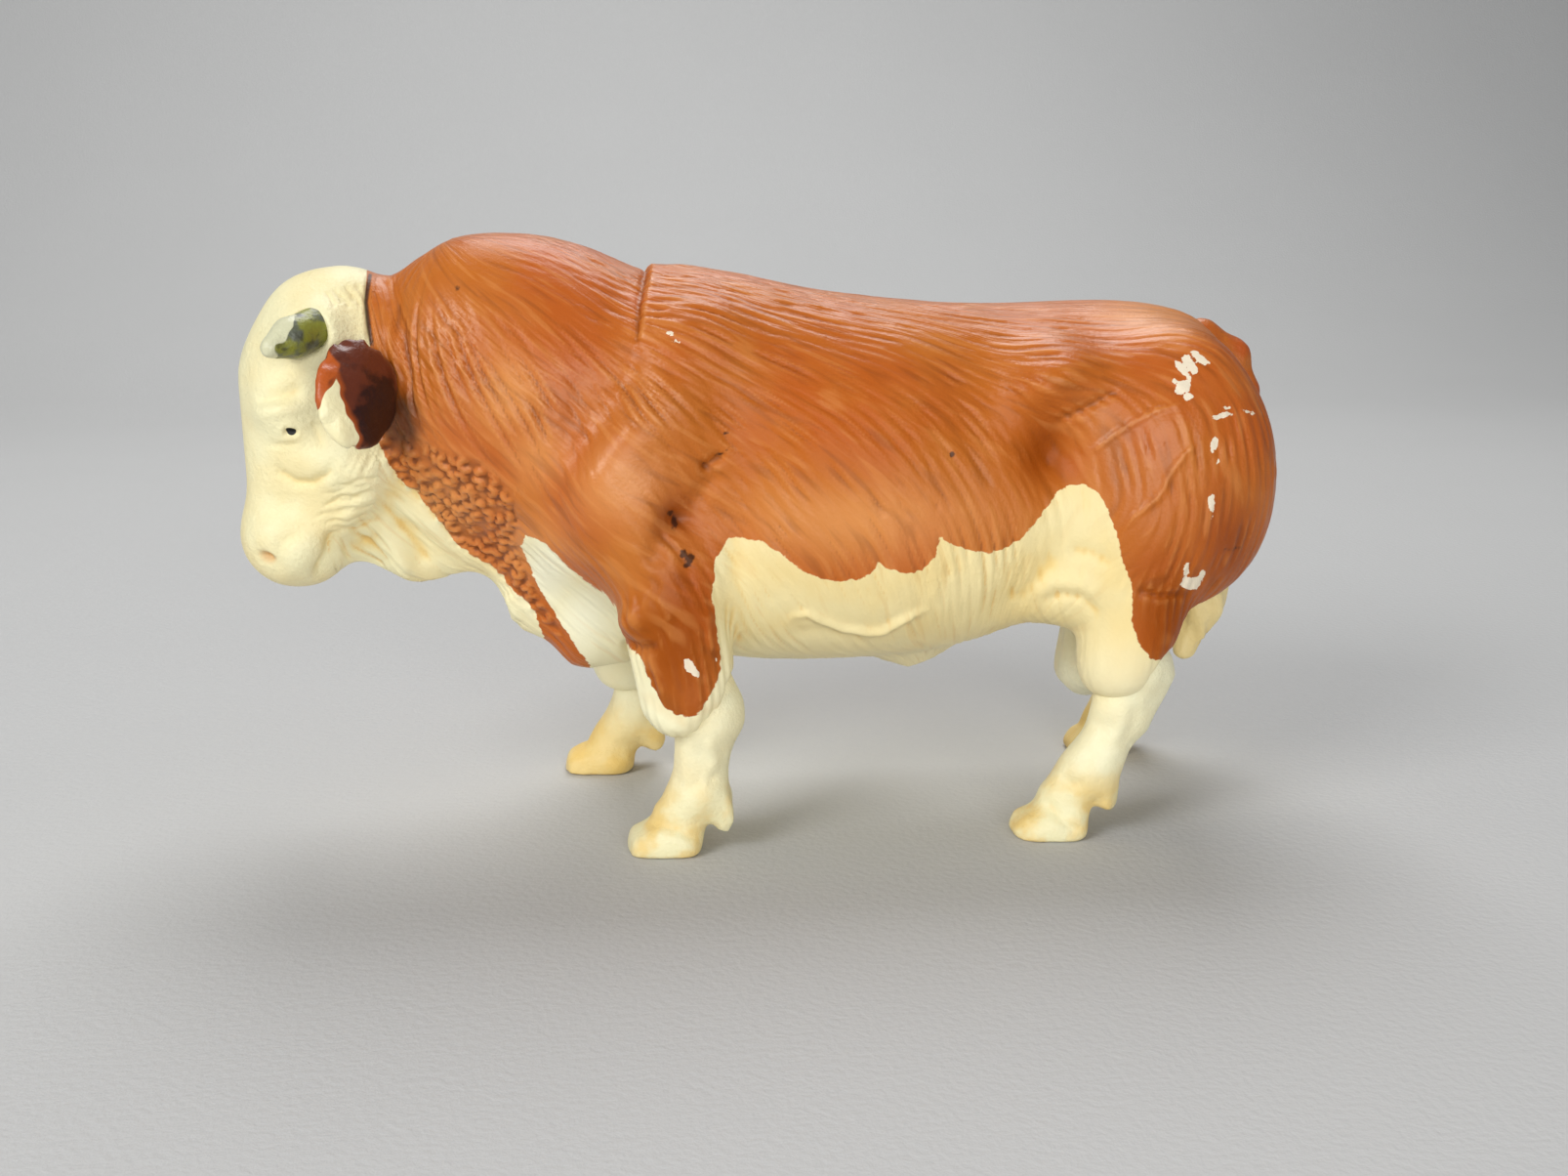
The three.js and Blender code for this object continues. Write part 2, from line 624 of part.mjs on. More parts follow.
const jaw = rod([HEAD_SEAM_X - 3.5, -5, JAW_HEIGHT + 2], [MUZZLE_X + 4.4, -2.4, MUZZLE_HEIGHT + 0.1], 6, 3);
const brow = ball([MUZZLE_X + 1.4, -7.2, EYE_HEIGHT + 1.6], [4, 3.4, 3.6]);
const skull = union(2.5, cranium, poll, both(burr), face, muzzle, chin, both(jaw), both(brow));

// The pouch under the eye, the lip and the cheek
const faceForms = [
  swelling([MUZZLE_X + 3.3, EYE_HEIGHT - 5.4], [3.3, 2], -0.2, 0.8),
  swelling([MUZZLE_X + 1.9, MUZZLE_HEIGHT - 1.1], [2.9, 3.2], 0, 1),
  swelling([MUZZLE_X + 10, EYE_HEIGHT - 6], [3, 3], 0, 0.5),
];
const head = embossed(skull, faceForms, [3, 7]);

const trunk = union(
  3.5,
  union(6, torso, both(shoulder), both(armPoint), both(hipBone), both(thigh), both(stifle), both(flank)),
  navelFold,
  union(5, neck, dewlap),
  ...legs.map(sleeveRoot),
);

// Muscles and hollows of the flank
const muscles = [
  swelling([CROUP_X - 13.5, HIP_HEIGHT + 2], [5.6, 3.1], 0.3, 1.3),
  swelling([CROUP_X - 13.2, HIP_HEIGHT - 7.4], [3.8, 5.6], 0.3, -2),
  swelling([CROUP_X - 22, HIP_HEIGHT - 1], [5.6, 7], 0, -1.2),
  swelling([CROUP_X, THIGH_HEIGHT + 1.4], [6.4, 9], -0.3, 1),
  swelling([CROUP_X + 8, HIP_HEIGHT + 5], [4.8, 3.1], -0.6, 0.7),
  swelling([BARREL_X - 5, SHOULDER_HEIGHT + 3], [12.5, 9.2], -0.3, 0.9),
  swelling([WITHERS_X - 8.8, ARM_HEIGHT - 15.2], [3.3, 3.6], 0, 1),
  swelling([WITHERS_X - 3.9, ARM_HEIGHT - 1.5], [2.8, 2.6], 0, -1.6),
  swelling([CROUP_X - 8.4, FLANK_HEIGHT + 0.5], [4.2, 4.6], 0, 0.5),
];
const thighVein = [
  [CROUP_X - 8, HIP_HEIGHT - 9.6],
  [CROUP_X - 2.8, HIP_HEIGHT - 3.4],
  [CROUP_X + 4, HIP_HEIGHT - 1],
];
const shoulderRidge = [
  [WITHERS_X - 5.5, SHOULDER_HEIGHT + 6],
  [WITHERS_X - 13.9, SHOULDER_HEIGHT - 1],
  [WITHERS_X - 17, ARM_HEIGHT + 1],
];
const shoulderGroove = [
  [WITHERS_X - 10.2, SHOULDER_HEIGHT + 9.8],
  [WITHERS_X - 16, SHOULDER_HEIGHT + 0.5],
  [WITHERS_X - 19, ARM_HEIGHT - 1],
];
const backOfShoulder = [
  [WITHERS_X + 1, SHOULDER_HEIGHT + 8.5],
  [WITHERS_X + 3.1, SHOULDER_HEIGHT + 3],
  [WITHERS_X - 0.7, ARM_HEIGHT - 0.5],
];
const backOfArm = [[WITHERS_X + 2.5, ARM_HEIGHT - 4.7], [WITHERS_X + 7.7, SHOULDER_HEIGHT - 0.6]];
const flankFold = [
  [CROUP_X - 12, STIFLE_HEIGHT + 1.8],
  [CROUP_X - 15, STIFLE_HEIGHT - 3],
  [CROUP_X - 18, STIFLE_HEIGHT - 5.2],
];
const folds = [
  fold(thighVein, 1.6, 0.6),
  fold(shoulderRidge, 2.8, 1.2),
  fold(shoulderGroove, 2.4, -1.1),
  fold(backOfShoulder, 3.6, -0.9),
  fold(backOfArm, 3, -0.6),
  fold(flankFold, 1.8, -0.8),
];

// Folds of the throat, and rows of curls from the cheek down to the brisket
const throatRidge = [
  [HEAD_SEAM_X + 0.3, JAW_HEIGHT - 2.6],
  [HEAD_SEAM_X + 8.1, JAW_HEIGHT - 10.4],
  [CREST_X - 3, JAW_HEIGHT - 14.4],
];
const throatGroove = [
  [HEAD_SEAM_X + 0.6, JAW_HEIGHT - 6.1],
  [HEAD_SEAM_X + 3, JAW_HEIGHT - 8.5],
  [HEAD_SEAM_X + 5.2, JAW_HEIGHT - 12.8],
];
const throatFlap = [
  [HEAD_SEAM_X - 1.1, JAW_HEIGHT - 6],
  [HEAD_SEAM_X + 0.5, JAW_HEIGHT - 10],
  [HEAD_SEAM_X + 2.7, JAW_HEIGHT - 15.4],
];
const collar = [
  [HEAD_SEAM_X + 2.5, POLL_HEIGHT - 1.7],
  [HEAD_SEAM_X + 3.4, POLL_HEIGHT - 6.3],
  [HEAD_SEAM_X + 4.9, POLL_HEIGHT - 16.5],
];
const throatFolds = [
  fold(throatRidge, 1.3, 1.1),
  fold(throatGroove, 1.3, -1.2),
  fold(throatFlap, 1.3, 1.3),
  fold(collar, 1.4, -0.9),
  swelling([CREST_X + 3.4, SHOULDER_HEIGHT + 8], [9, 10.5], 0, 0.6),
];
const CURL_PITCH = 3.9;
const CURL_RADIUS = 1.5;
const CURL_RISE = 0.8;
const curlRows = [
  { from: [HEAD_SEAM_X + 4.4, JAW_HEIGHT + 3.4], to: [HEAD_SEAM_X + 17, JAW_HEIGHT - 2.6] },
  { from: [HEAD_SEAM_X + 5.6, JAW_HEIGHT - 0.6], to: [HEAD_SEAM_X + 17.4, JAW_HEIGHT - 8.6] },
  { from: [HEAD_SEAM_X + 10.4, JAW_HEIGHT - 6.4], to: [HEAD_SEAM_X + 20, JAW_HEIGHT - 18] },
];
const curls = curlRows.flatMap(({ from, to }) => {
  const [start, way] = [new THREE.Vector2(...from), new THREE.Vector2(to[0] - from[0], to[1] - from[1])];
  const steps = Math.floor(way.length() / CURL_PITCH);
  const at = (i) => start.clone().addScaledVector(way, i / steps).toArray();
  const curl = (unused, i) => swelling(at(i), [CURL_RADIUS, CURL_RADIUS], 0, CURL_RISE);
  return Array.from({ length: steps + 1 }, curl);
});

// The flanks' relief starts well off the middle, and the throat's close to it
const shapedFlanks = embossed(trunk, [...muscles, ...folds], [9, 16]);
const shapedTrunk = embossed(shapedFlanks, [...throatFolds, ...curls], [0.8, 3]);
const trunkAndHead = union(2, shapedTrunk, head);

// Horns, ears, tail and scrotum: each plugs into the piece that carries it

function horn(side) {
  const root = new THREE.Vector3(POLL_X + 1.8, side * 5.4, POLL_HEIGHT - 5.6);
  const way = new THREE.Vector3(-0.6, 0.74 * side, -0.28).normalize();
  const at = (out, radius) => [...way.clone().multiplyScalar(out).add(root).toArray(), radius];
  const socketDepth = 4.6;
  return chain(
    [
      at(0, HORN_RADIUS),
      at(socketDepth + HORN_LENGTH * 0.45, HORN_RADIUS - 0.1),
      at(socketDepth + HORN_LENGTH - 1.4, HORN_RADIUS - 1.2),
    ],
    1,
  );
}

// A cupped leaf on a stalk: a flat ellipsoid hollowed on its front
function ear(side) {
  const middle = [HEAD_SEAM_X - 1.2, 16 * side, EAR_ROOT_HEIGHT - 1.6];
  const room = EAR_LENGTH / 2 + EAR_THICKNESS;
  const tip = new THREE.Vector3(-0.22, 0.62 * side, -0.75).normalize();
  const face = new THREE.Vector3(-0.46, -0.82 * side, 0.1).projectOnPlane(tip).normalize();
  const across = new THREE.Vector3().crossVectors(tip, face);
  const local = (form) => (x, y, z) => {
    const from = new THREE.Vector3(x - middle[0], y - middle[1], z - middle[2]);
    return form(from.dot(across), from.dot(face), from.dot(tip));
  };
  const leaf = ball([0, 0, 0], [EAR_HALF_WIDTH, EAR_THICKNESS / 2, EAR_LENGTH / 2]);
  const cup = ball([0, EAR_THICKNESS * 1.2, 1], [EAR_HALF_WIDTH * 0.8, EAR_THICKNESS, EAR_LENGTH * 0.42]);
  const cupped = within(
    local((x, y, z) => Math.max(leaf(x, y, z), -cup(x, y, z))),
    middle.map((v) => v - room),
    middle.map((v) => v + room),
  );
  const stalkRoot = [HEAD_SEAM_X - 3.4, 5.5 * side, EAR_ROOT_HEIGHT];
  const stalk = rod(stalkRoot, [HEAD_SEAM_X - 2.4, 12 * side, EAR_ROOT_HEIGHT + 0.3], 2, 2.2);
  return union(1.5, cupped, stalk);
}

const tail = chain(
  [
    [RUMP_X - 12, 0, CROUP_HEIGHT - 7, TAIL_RADIUS],
    [RUMP_X - 6.4, 0, CROUP_HEIGHT - 5.2, TAIL_RADIUS + 0.2],
    [RUMP_X - 1.9, 0, CROUP_HEIGHT - 7.8, TAIL_RADIUS + 0.2],
    [RUMP_X, 0, CROUP_HEIGHT - 12.8, TAIL_RADIUS],
    [RUMP_X + 0.6, 0, CROUP_HEIGHT - 24, TAIL_RADIUS - 0.2],
    [RUMP_X - 1.4, 0, CROUP_HEIGHT - 34, TAIL_RADIUS],
    [RUMP_X - 4, 0, CROUP_HEIGHT - 43, SWITCH_RADIUS],
    [RUMP_X - 6.4, 0, CROUP_HEIGHT - 50, SWITCH_RADIUS - 1.4],
  ],
  1.5,
);

const scrotum = chain(
  [
    [CROUP_X - 1, 0, FLANK_HEIGHT + 5, 2.6],
    [CROUP_X - 1.3, 0, FLANK_HEIGHT - 2, 3.6],
    [CROUP_X - 1.5, 0, FLANK_HEIGHT - 9.8, 4.8],
  ],
  2,
);

// Seams, drawn in side view from top to bottom

const neckSeam = [
  [NECK_SEAM_X, CREST_HEIGHT + 8],
  [NECK_SEAM_X, WITHERS_HEIGHT - 2],
  [NECK_SEAM_X - 2.2, SHOULDER_HEIGHT + 11.5],
  [NECK_SEAM_X - 4.6, SHOULDER_HEIGHT + 7],
  [NECK_SEAM_X - 8.8, SHOULDER_HEIGHT - 1],
  [NECK_SEAM_X - 11, ARM_HEIGHT],
  [NECK_SEAM_X - 13.6, ARM_HEIGHT - 5.5],
  [NECK_SEAM_X - 13, ARM_HEIGHT - 11],
  [NECK_SEAM_X - 10, BELLY_HEIGHT + 6],
  [NECK_SEAM_X - 9, BELLY_HEIGHT - 12],
];
const headSeam = [
  [HEAD_SEAM_X, POLL_HEIGHT + 10],
  [HEAD_SEAM_X, POLL_HEIGHT - 10],
  [HEAD_SEAM_X - 0.2, JAW_HEIGHT + 4],
  [HEAD_SEAM_X - 0.6, JAW_HEIGHT - 2],
  [HEAD_SEAM_X - 4, JAW_HEIGHT - 6],
  [HEAD_SEAM_X - 6.6, JAW_HEIGHT - 8.5],
  [HEAD_SEAM_X - 7.4, JAW_HEIGHT - 13],
  [HEAD_SEAM_X - 7.4, JAW_HEIGHT - 30],
];

// The pieces

// The sleeves are faceted as finely as the legs that plug into them
const sleeves = legs.map((leg) => skin(sleeveEnd(leg), LEG_FACET));
const wholeTrunk = sleeves.reduce((all, sleeve) => all.add(sleeve), skin(trunkAndHead, TRUNK_FACET));
const headBlank = within(
  (x, y, z) => Math.max(trunkAndHead(x, y, z), x - (HEAD_SEAM_X + 3)),
  [trunkAndHead.low[0], -NECK_HALF_WIDTH, DEWLAP_HEIGHT - 4],
  [HEAD_SEAM_X + 3, NECK_HALF_WIDTH, CREST_HEIGHT + 2],
);
const wholeHead = skin(headBlank, HEAD_FACET);
const neckBlank = within(
  (x, y, z) => Math.max(trunkAndHead(x, y, z), x - (NECK_SEAM_X + 4)),
  trunkAndHead.low,
  [NECK_SEAM_X + 4, trunkAndHead.high[1], trunkAndHead.high[2]],
);
const wholeNeck = skin(neckBlank, NECK_FACET);
const neckPeg = (extra) =>
  spigot(NECK_SEAM_X - 14, NECK_SEAM_X + NECK_SPIGOT_LENGTH, NECK_SPIGOT_HEIGHT, NECK_SPIGOT_RADII, extra);
const headPeg = (extra) =>
  spigot(HEAD_SEAM_X - 6, HEAD_SEAM_X + HEAD_SPIGOT_LENGTH, HEAD_SPIGOT_HEIGHT, HEAD_SPIGOT_RADII, extra);
const ground = solidOf(new THREE.BoxGeometry(ROOM, ROOM, ROOM).translate(0, 0, -ROOM / 2));

// The neck's side of its seam leaves out the sleeve of the foreleg that steps ahead of it
const neckSide = (backOff) =>
  aheadOf(neckSeam, backOff).subtract(skin(grown(chain(foreSleeve(legs[1]), 2), 1 + backOff), TRUNK_FACET));

let body = wholeTrunk.subtract(neckSide(-CLEARANCE / 2)).subtract(neckPeg(CLEARANCE));
let neckPiece = wholeNeck
  .intersect(neckSide(CLEARANCE / 2))
  .subtract(aheadOf(headSeam, -CLEARANCE / 2))
  .add(neckPeg(0).subtract(aheadOf(neckSeam, CLEARANCE)))
  .subtract(headPeg(CLEARANCE));
let headPiece = wholeHead.intersect(aheadOf(headSeam, CLEARANCE / 2)).add(headPeg(0).intersect(wholeTrunk));

const pieces = {};
for (const leg of legs) {
  const shank = leg.shank(leg);
  pieces[leg.name] = skin(shank, LEG_FACET).subtract(ground);
  body = body.subtract(skin(grown(shank, CLEARANCE), LEG_FACET));
}
for (const [word, side] of [["left", -1], ["right", 1]]) {
  pieces[`${word}_horn`] = skin(horn(side), HORN_FACET);
  pieces[`${word}_ear`] = skin(ear(side), EAR_FACET);
  headPiece = headPiece.subtract(skin(grown(horn(side), CLEARANCE), HORN_FACET));
  const earSocket = skin(grown(ear(side), CLEARANCE + EAR_EDGE_ROOM), EAR_FACET);
  headPiece = headPiece.subtract(earSocket);
  neckPiece = neckPiece.subtract(earSocket);
}
pieces.tail = skin(tail, TAIL_FACET);
pieces.scrotum = skin(scrotum, SCROTUM_FACET);
body = body.subtract(skin(grown(tail, CLEARANCE), TAIL_FACET));
body = body.subtract(skin(grown(scrotum, CLEARANCE), SCROTUM_FACET));
Object.assign(pieces, { body, neck: neckPiece, head: headPiece });

// The assembly

// Each piece has its own paint: [colour, roughness]
const CHESTNUT = [0xa8562c, 0.45];
const CREAM = [0xeee0b0, 0.5];
const DARK_BROWN = [0x5a2a18, 0.4];
const OLIVE = [0x77784a, 0.4];
const PEACH = [0xeec79a, 0.5];
const paints = {
  body: CHESTNUT,
  neck: CHESTNUT,
  tail: CHESTNUT,
  left_ear: DARK_BROWN,
  right_ear: DARK_BROWN,
  left_horn: OLIVE,
  right_horn: OLIVE,
  scrotum: PEACH,
};

const bull = new THREE.Group();
for (const [name, solid] of Object.entries(pieces)) {
  const [color, roughness] = paints[name] ?? CREAM;
  const paint = new THREE.MeshStandardMaterial({ color, roughness, metalness: 0 });
  const mesh = new THREE.Mesh(geometryOf(solid), paint);
  mesh.name = name;
  bull.add(mesh);
}
const box = new THREE.Box3().setFromObject(bull);
bull.position.x = -(box.min.x + box.max.x) / 2;

export default bull;
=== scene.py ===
# A moulded bull figurine in chestnut and cream paint.
# Sizes are in millimetres in the frame of the part; places read off the picture are in its pixels.
import math

import bpy
import numpy as np
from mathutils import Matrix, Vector
from mathutils.bvhtree import BVHTree
from mathutils.kdtree import KDTree


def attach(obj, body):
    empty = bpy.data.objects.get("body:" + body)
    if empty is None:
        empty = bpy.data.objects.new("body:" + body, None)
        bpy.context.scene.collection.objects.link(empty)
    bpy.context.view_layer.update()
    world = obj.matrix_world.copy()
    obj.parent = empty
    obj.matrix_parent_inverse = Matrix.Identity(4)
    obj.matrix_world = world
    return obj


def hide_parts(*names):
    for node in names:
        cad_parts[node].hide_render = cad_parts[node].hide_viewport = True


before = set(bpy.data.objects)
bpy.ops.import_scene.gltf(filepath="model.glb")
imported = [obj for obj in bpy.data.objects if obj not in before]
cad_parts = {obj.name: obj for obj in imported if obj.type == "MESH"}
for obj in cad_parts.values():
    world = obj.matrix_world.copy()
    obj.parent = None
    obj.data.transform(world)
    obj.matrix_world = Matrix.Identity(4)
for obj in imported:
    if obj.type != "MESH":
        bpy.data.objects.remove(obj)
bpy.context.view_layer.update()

MM = 0.001

# The camera of the picture
CAMERA = np.array([-23.61, -227.87, 84.0])
PITCH = math.radians(13.0)
YAW = math.radians(6.6)
FOCAL = 1722.0
PICTURE_WIDTH = 1606.0
PICTURE_HEIGHT = 1204.0
SENSOR = 36.0
PIXELS_PER_MM = 7.6

# The stance: the right legs stand ahead of and behind the left ones
RIGHT_FORE_STEP = -8.5
RIGHT_HIND_STEP = 17.6
STEP_TOP = 75.0
FORE_STEP_BLEND = (6.0, -12.0)
HIND_STEP_BLEND = (26.0, 50.0)
STEP_HEIGHTS = (50.0, 36.0)
STEP_SIDE = (4.0, 12.0)

# Where the upper legs end, and a ball that stops the mouth of each socket
SLEEVE_ENDS = [(-11.8, -16.8, 21.2), (-18.2, 16.8, 17.8), (46.2, -16.9, 23.8), (58.2, 16.9, 23.8)]
SLEEVE_STOP = 5.4
HORN_SOCKETS = [(-56.3, -7.0, 69.1), (-56.3, 7.0, 69.1)]
HORN_STOP = 3.0
# Forms that hang below the belly and the brisket: middle, reach in x and y, top and drop
HANGING = [(20.6, 6.5, 3.2, 29.0, 1.9), (-27.0, 8.5, 6.0, 33.0, 1.5)]
HANGING_FADE = 5.0
# How far the skin reaches over a seam, and how far its edge there is turned in
SEAM_REACH = 0.5
TURNED_IN = 1.5

# How fine each skin is, and how far its facets are smoothed away
TRUNK_VOXEL = 0.42
LEG_VOXEL = 0.27
SMALL_VOXEL = 0.22
TRUNK_SMOOTHING = 2.0
HEAD_SMOOTHING = 0.3
LEG_SMOOTHING = 0.8
SMALL_SMOOTHING = 0.6
# The part of the trunk ahead of this is made finer for the head
HEAD_END = -40.0

random = np.random.default_rng(7)


# Places in the picture


def in_picture(points):
    """Pixels of points in millimetres."""
    away = points - CAMERA
    across = away[:, 0] * math.cos(YAW) - away[:, 1] * math.sin(YAW)
    ahead = away[:, 0] * math.sin(YAW) + away[:, 1] * math.cos(YAW)
    depth = ahead * math.cos(PITCH) - away[:, 2] * math.sin(PITCH)
    rise = ahead * math.sin(PITCH) + away[:, 2] * math.cos(PITCH)
    x = PICTURE_WIDTH / 2 + FOCAL * across / depth
    y = PICTURE_HEIGHT / 2 - FOCAL * rise / depth
    return np.stack([x, y], 1)


def ease(values, low, high):
    """0 at low and below, 1 at high and above, smooth between."""
    t = np.clip((values - low) / (high - low), 0, 1)
    return t * t * (3 - 2 * t)


def on_left(points):
    """The matching places on the left side, which faces the camera."""
    near = points.copy()
    x, y, z = points.T
    step = RIGHT_FORE_STEP * ease(x, *FORE_STEP_BLEND) + RIGHT_HIND_STEP * ease(x, *HIND_STEP_BLEND)
    share = (1 - z / STEP_TOP) * ease(z, *STEP_HEIGHTS) * ease(y, *STEP_SIDE)
    near[:, 0] -= step * share
    near[:, 1] = -np.abs(y)
    return near


def facing(points, normals):
    """How squarely the left side, or the matching right side, faces the camera."""
    near = normals.copy()
    near[:, 1] *= np.where(points[:, 1] > 0, -1, 1)
    view = CAMERA - on_left(points)
    view /= np.linalg.norm(view, axis=1)[:, None]
    return (near * view).sum(1)


def seen(skin):
    """The places of a skin's points in the picture, and how squarely they face the camera."""
    return in_picture(on_left(skin.points)), facing(skin.points, skin.normals())


def to_line(line, places):
    """Distance of places to a broken line, the share along it, and the side, in pixels."""
    line = np.array(line, float)
    best = np.full(len(places), 1e9)
    share = np.zeros(len(places))
    side = np.zeros(len(places))
    lengths = np.linalg.norm(np.diff(line, axis=0), axis=1)
    starts = np.concatenate([[0], np.cumsum(lengths)])
    for i, length in enumerate(lengths):
        way = (line[i + 1] - line[i]) / length
        off = places - line[i]
        along = np.clip(off @ way, 0, length)
        gap = np.linalg.norm(off - along[:, None] * way, axis=1)
        nearer = gap < best
        best = np.where(nearer, gap, best)
        share = np.where(nearer, (starts[i] + along) / starts[-1], share)
        side = np.where(nearer, np.sign(way[0] * off[:, 1] - way[1] * off[:, 0]), side)
    return best, share, side


def inside(outline, places):
    """Signed distance of places to an outline in millimetres, positive inside it."""
    outline = np.array(outline, float)
    gap = to_line(np.vstack([outline, outline[:1]]), places)[0]
    odd = np.zeros(len(places), bool)
    for a, b in zip(outline, np.roll(outline, -1, axis=0)):
        between = (a[1] > places[:, 1]) != (b[1] > places[:, 1])
        rise = b[1] - a[1] if b[1] != a[1] else 1e-9
        odd ^= between & (places[:, 0] < (b[0] - a[0]) * (places[:, 1] - a[1]) / rise + a[0])
    return np.where(odd, gap, -gap) / PIXELS_PER_MM


# Skins


class Skin:
    """A closed mesh of quads as arrays, in millimetres."""

    def __init__(self, points, quads):
        self.points = points
        self.quads = quads
        pairs = np.concatenate([quads[:, [i, (i + 1) % 4]] for i in range(4)])
        self.pairs = np.concatenate([pairs, pairs[:, ::-1]])
        self.count = np.bincount(self.pairs[:, 0], minlength=len(points)).astype(float)

    def around(self, values):
        """The mean of each point's neighbours."""
        values = values.reshape(len(self.points), -1)
        columns = [
            np.bincount(self.pairs[:, 0], values[self.pairs[:, 1], i], len(self.points)) / self.count
            for i in range(values.shape[1])
        ]
        return np.stack(columns, 1).squeeze()

    def spread(self, values, passes):
        """Values evened out among neighbours, again and again."""
        for _ in range(passes):
            values = (values + self.around(values)) / 2
        return values

    def smooth(self, distance, voxel):
        """Smooths small facets away; the broad part of what that takes off is given back."""
        passes = int(round(4 * distance**2 / voxel**2))
        first = self.points
        self.points = self.spread(first, passes)
        self.points = self.points + self.spread(first - self.points, passes)

    def normals(self):
        corner = self.points[self.quads]
        face = np.cross(corner[:, 2] - corner[:, 0], corner[:, 3] - corner[:, 1])
        at = self.quads.ravel()
        sums = [np.bincount(at, np.repeat(face[:, i], 4), len(self.points)) for i in range(3)]
        total = np.stack(sums, 1)
        return total / np.maximum(np.linalg.norm(total, axis=1), 1e-12)[:, None]

    def push(self, height):
        """Moves each point outwards by a height."""
        self.points = self.points + self.normals() * height[:, None]

    def hollows(self, passes):
        """How far each point lies below its smoothed surroundings."""
        return ((self.spread(self.points, passes) - self.points) * self.normals()).sum(1)


def triangles_of(name):
    """Points and triangles of a node of the frame."""
    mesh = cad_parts[name].data
    mesh.calc_loop_triangles()
    points = np.empty(len(mesh.vertices) * 3)
    mesh.vertices.foreach_get("co", points)
    triangles = np.empty(len(mesh.loop_triangles) * 3, int)
    mesh.loop_triangles.foreach_get("vertices", triangles)
    return points.reshape(-1, 3) / MM, triangles.reshape(-1, 3)


def stopper(centre, radius):
    """A small ball of triangles."""
    rings = 10
    turns = 16

    def at(ring, turn):
        return 1 + (ring - 1) * turns + turn % turns

    points = [(0, 0, 1)]
    for ring in range(1, rings):
        lean = math.pi * ring / rings
        for turn in range(turns):
            way = 2 * math.pi * turn / turns
            points.append((math.sin(lean) * math.cos(way), math.sin(lean) * math.sin(way), math.cos(lean)))
    points.append((0, 0, -1))
    faces = []
    for turn in range(turns):
        faces.append((0, at(1, turn), at(1, turn + 1)))
        faces.append((len(points) - 1, at(rings - 1, turn + 1), at(rings - 1, turn)))
        for ring in range(1, rings - 1):
            faces.append((at(ring, turn), at(ring + 1, turn), at(ring + 1, turn + 1)))
            faces.append((at(ring, turn), at(ring + 1, turn + 1), at(ring, turn + 1)))
    return np.array(points) * radius + np.array(centre), np.array(faces)


def wrapped(parts, voxel):
    """One even skin round several closed meshes; loose scraps are left out."""
    starts = np.cumsum([0] + [len(points) for points, faces in parts])
    points = np.concatenate([points for points, faces in parts])
    faces = np.concatenate([faces + start for (points_of, faces), start in zip(parts, starts)])
    mesh = bpy.data.meshes.new("blank")
    mesh.from_pydata(points.tolist(), [], faces.tolist())
    blank = bpy.data.objects.new("blank", mesh)
    bpy.context.scene.collection.objects.link(blank)
    remesh = blank.modifiers.new("voxels", "REMESH")
    remesh.mode = "VOXEL"
    remesh.voxel_size = voxel
    shaped = blank.evaluated_get(bpy.context.evaluated_depsgraph_get()).to_mesh()
    points = np.empty(len(shaped.vertices) * 3)
    shaped.vertices.foreach_get("co", points)
    quads = np.empty(len(shaped.loops), int)
    shaped.loops.foreach_get("vertex_index", quads)
    bpy.data.objects.remove(blank)
    bpy.data.meshes.remove(mesh)
    return largest(points.reshape(-1, 3), quads.reshape(-1, 4))


def largest(points, quads):
    """The largest connected sheet of a mesh."""
    quads = quads[in_largest(quads)]
    used, quads_of = np.unique(quads, return_inverse=True)
    return Skin(points[used], quads_of.reshape(-1, 4))


# The coat: which way the hair lies, as degrees below level towards the tail

HAIR_LIES = [
    (419, 328, 81), (467, 350, 70), (532, 372, 59), (575, 350, 53), (618, 307, 35), (629, 285, 29),
    (597, 415, 63), (532, 469, 63), (564, 458, 70), (655, 415, 50), (532, 263, 30), (440, 290, 76),
    (686, 296, 3), (801, 303, 17), (893, 326, 19), (778, 349, 24), (732, 379, 29), (778, 411, 35),
    (824, 424, 37), (858, 475, 51), (835, 509, 55), (961, 379, 37), (732, 452, 51), (995, 339, 27),
    (1031, 469, 61), (984, 469, 59), (1102, 358, 19), (1125, 374, 31), (1092, 384, 19), (1172, 320, 9),
    (1231, 346, 31), (1267, 374, 59), (1149, 462, 71), (1208, 504, 79), (1255, 469, 84), (1290, 469, 81),
    (1172, 570, 121), (1161, 558, 129), (1196, 575, 109), (1220, 551, 96), (1267, 540, 93),
    (817, 571, 50), (868, 609, 66), (919, 604, 64), (970, 617, 75), (1008, 604, 80), (1046, 579, 77),
    (791, 653, 70), (560, 590, 50), (590, 630, 52), (690, 600, 65), (690, 680, 77), (700, 720, 88),
    (700, 560, 50), (745, 490, 52), (1190, 640, 85), (640, 680, 60), (745, 650, 85),
]
# Where the coat is smoother or deeper than elsewhere: place, radius and strength
COAT_SPOTS = [
    (500, 268, 62, 0.1), (560, 300, 40, 0.4), (628, 480, 46, 0.15), (590, 545, 40, 0.3),
    (1160, 316, 60, 0.4), (1240, 400, 34, 0.3), (1080, 460, 40, 0.5), (1110, 560, 46, 0.2),
    (1140, 650, 40, 0.1), (850, 640, 40, 0.4), (590, 620, 44, 0.35), (1150, 700, 40, 0.0),
    (450, 380, 46, 3.0), (560, 430, 46, 2.2), (664, 410, 24, 2.2), (1074, 388, 30, 1.5),
    (770, 330, 80, 1.3), (690, 300, 36, 1.5), (1030, 590, 40, 1.9), (930, 600, 40, 1.4),
]
# How widely the lies of the hair blend into each other, in square pixels, and how fast they give way
LIE_REACH = 300
LIE_FALL = 1.6
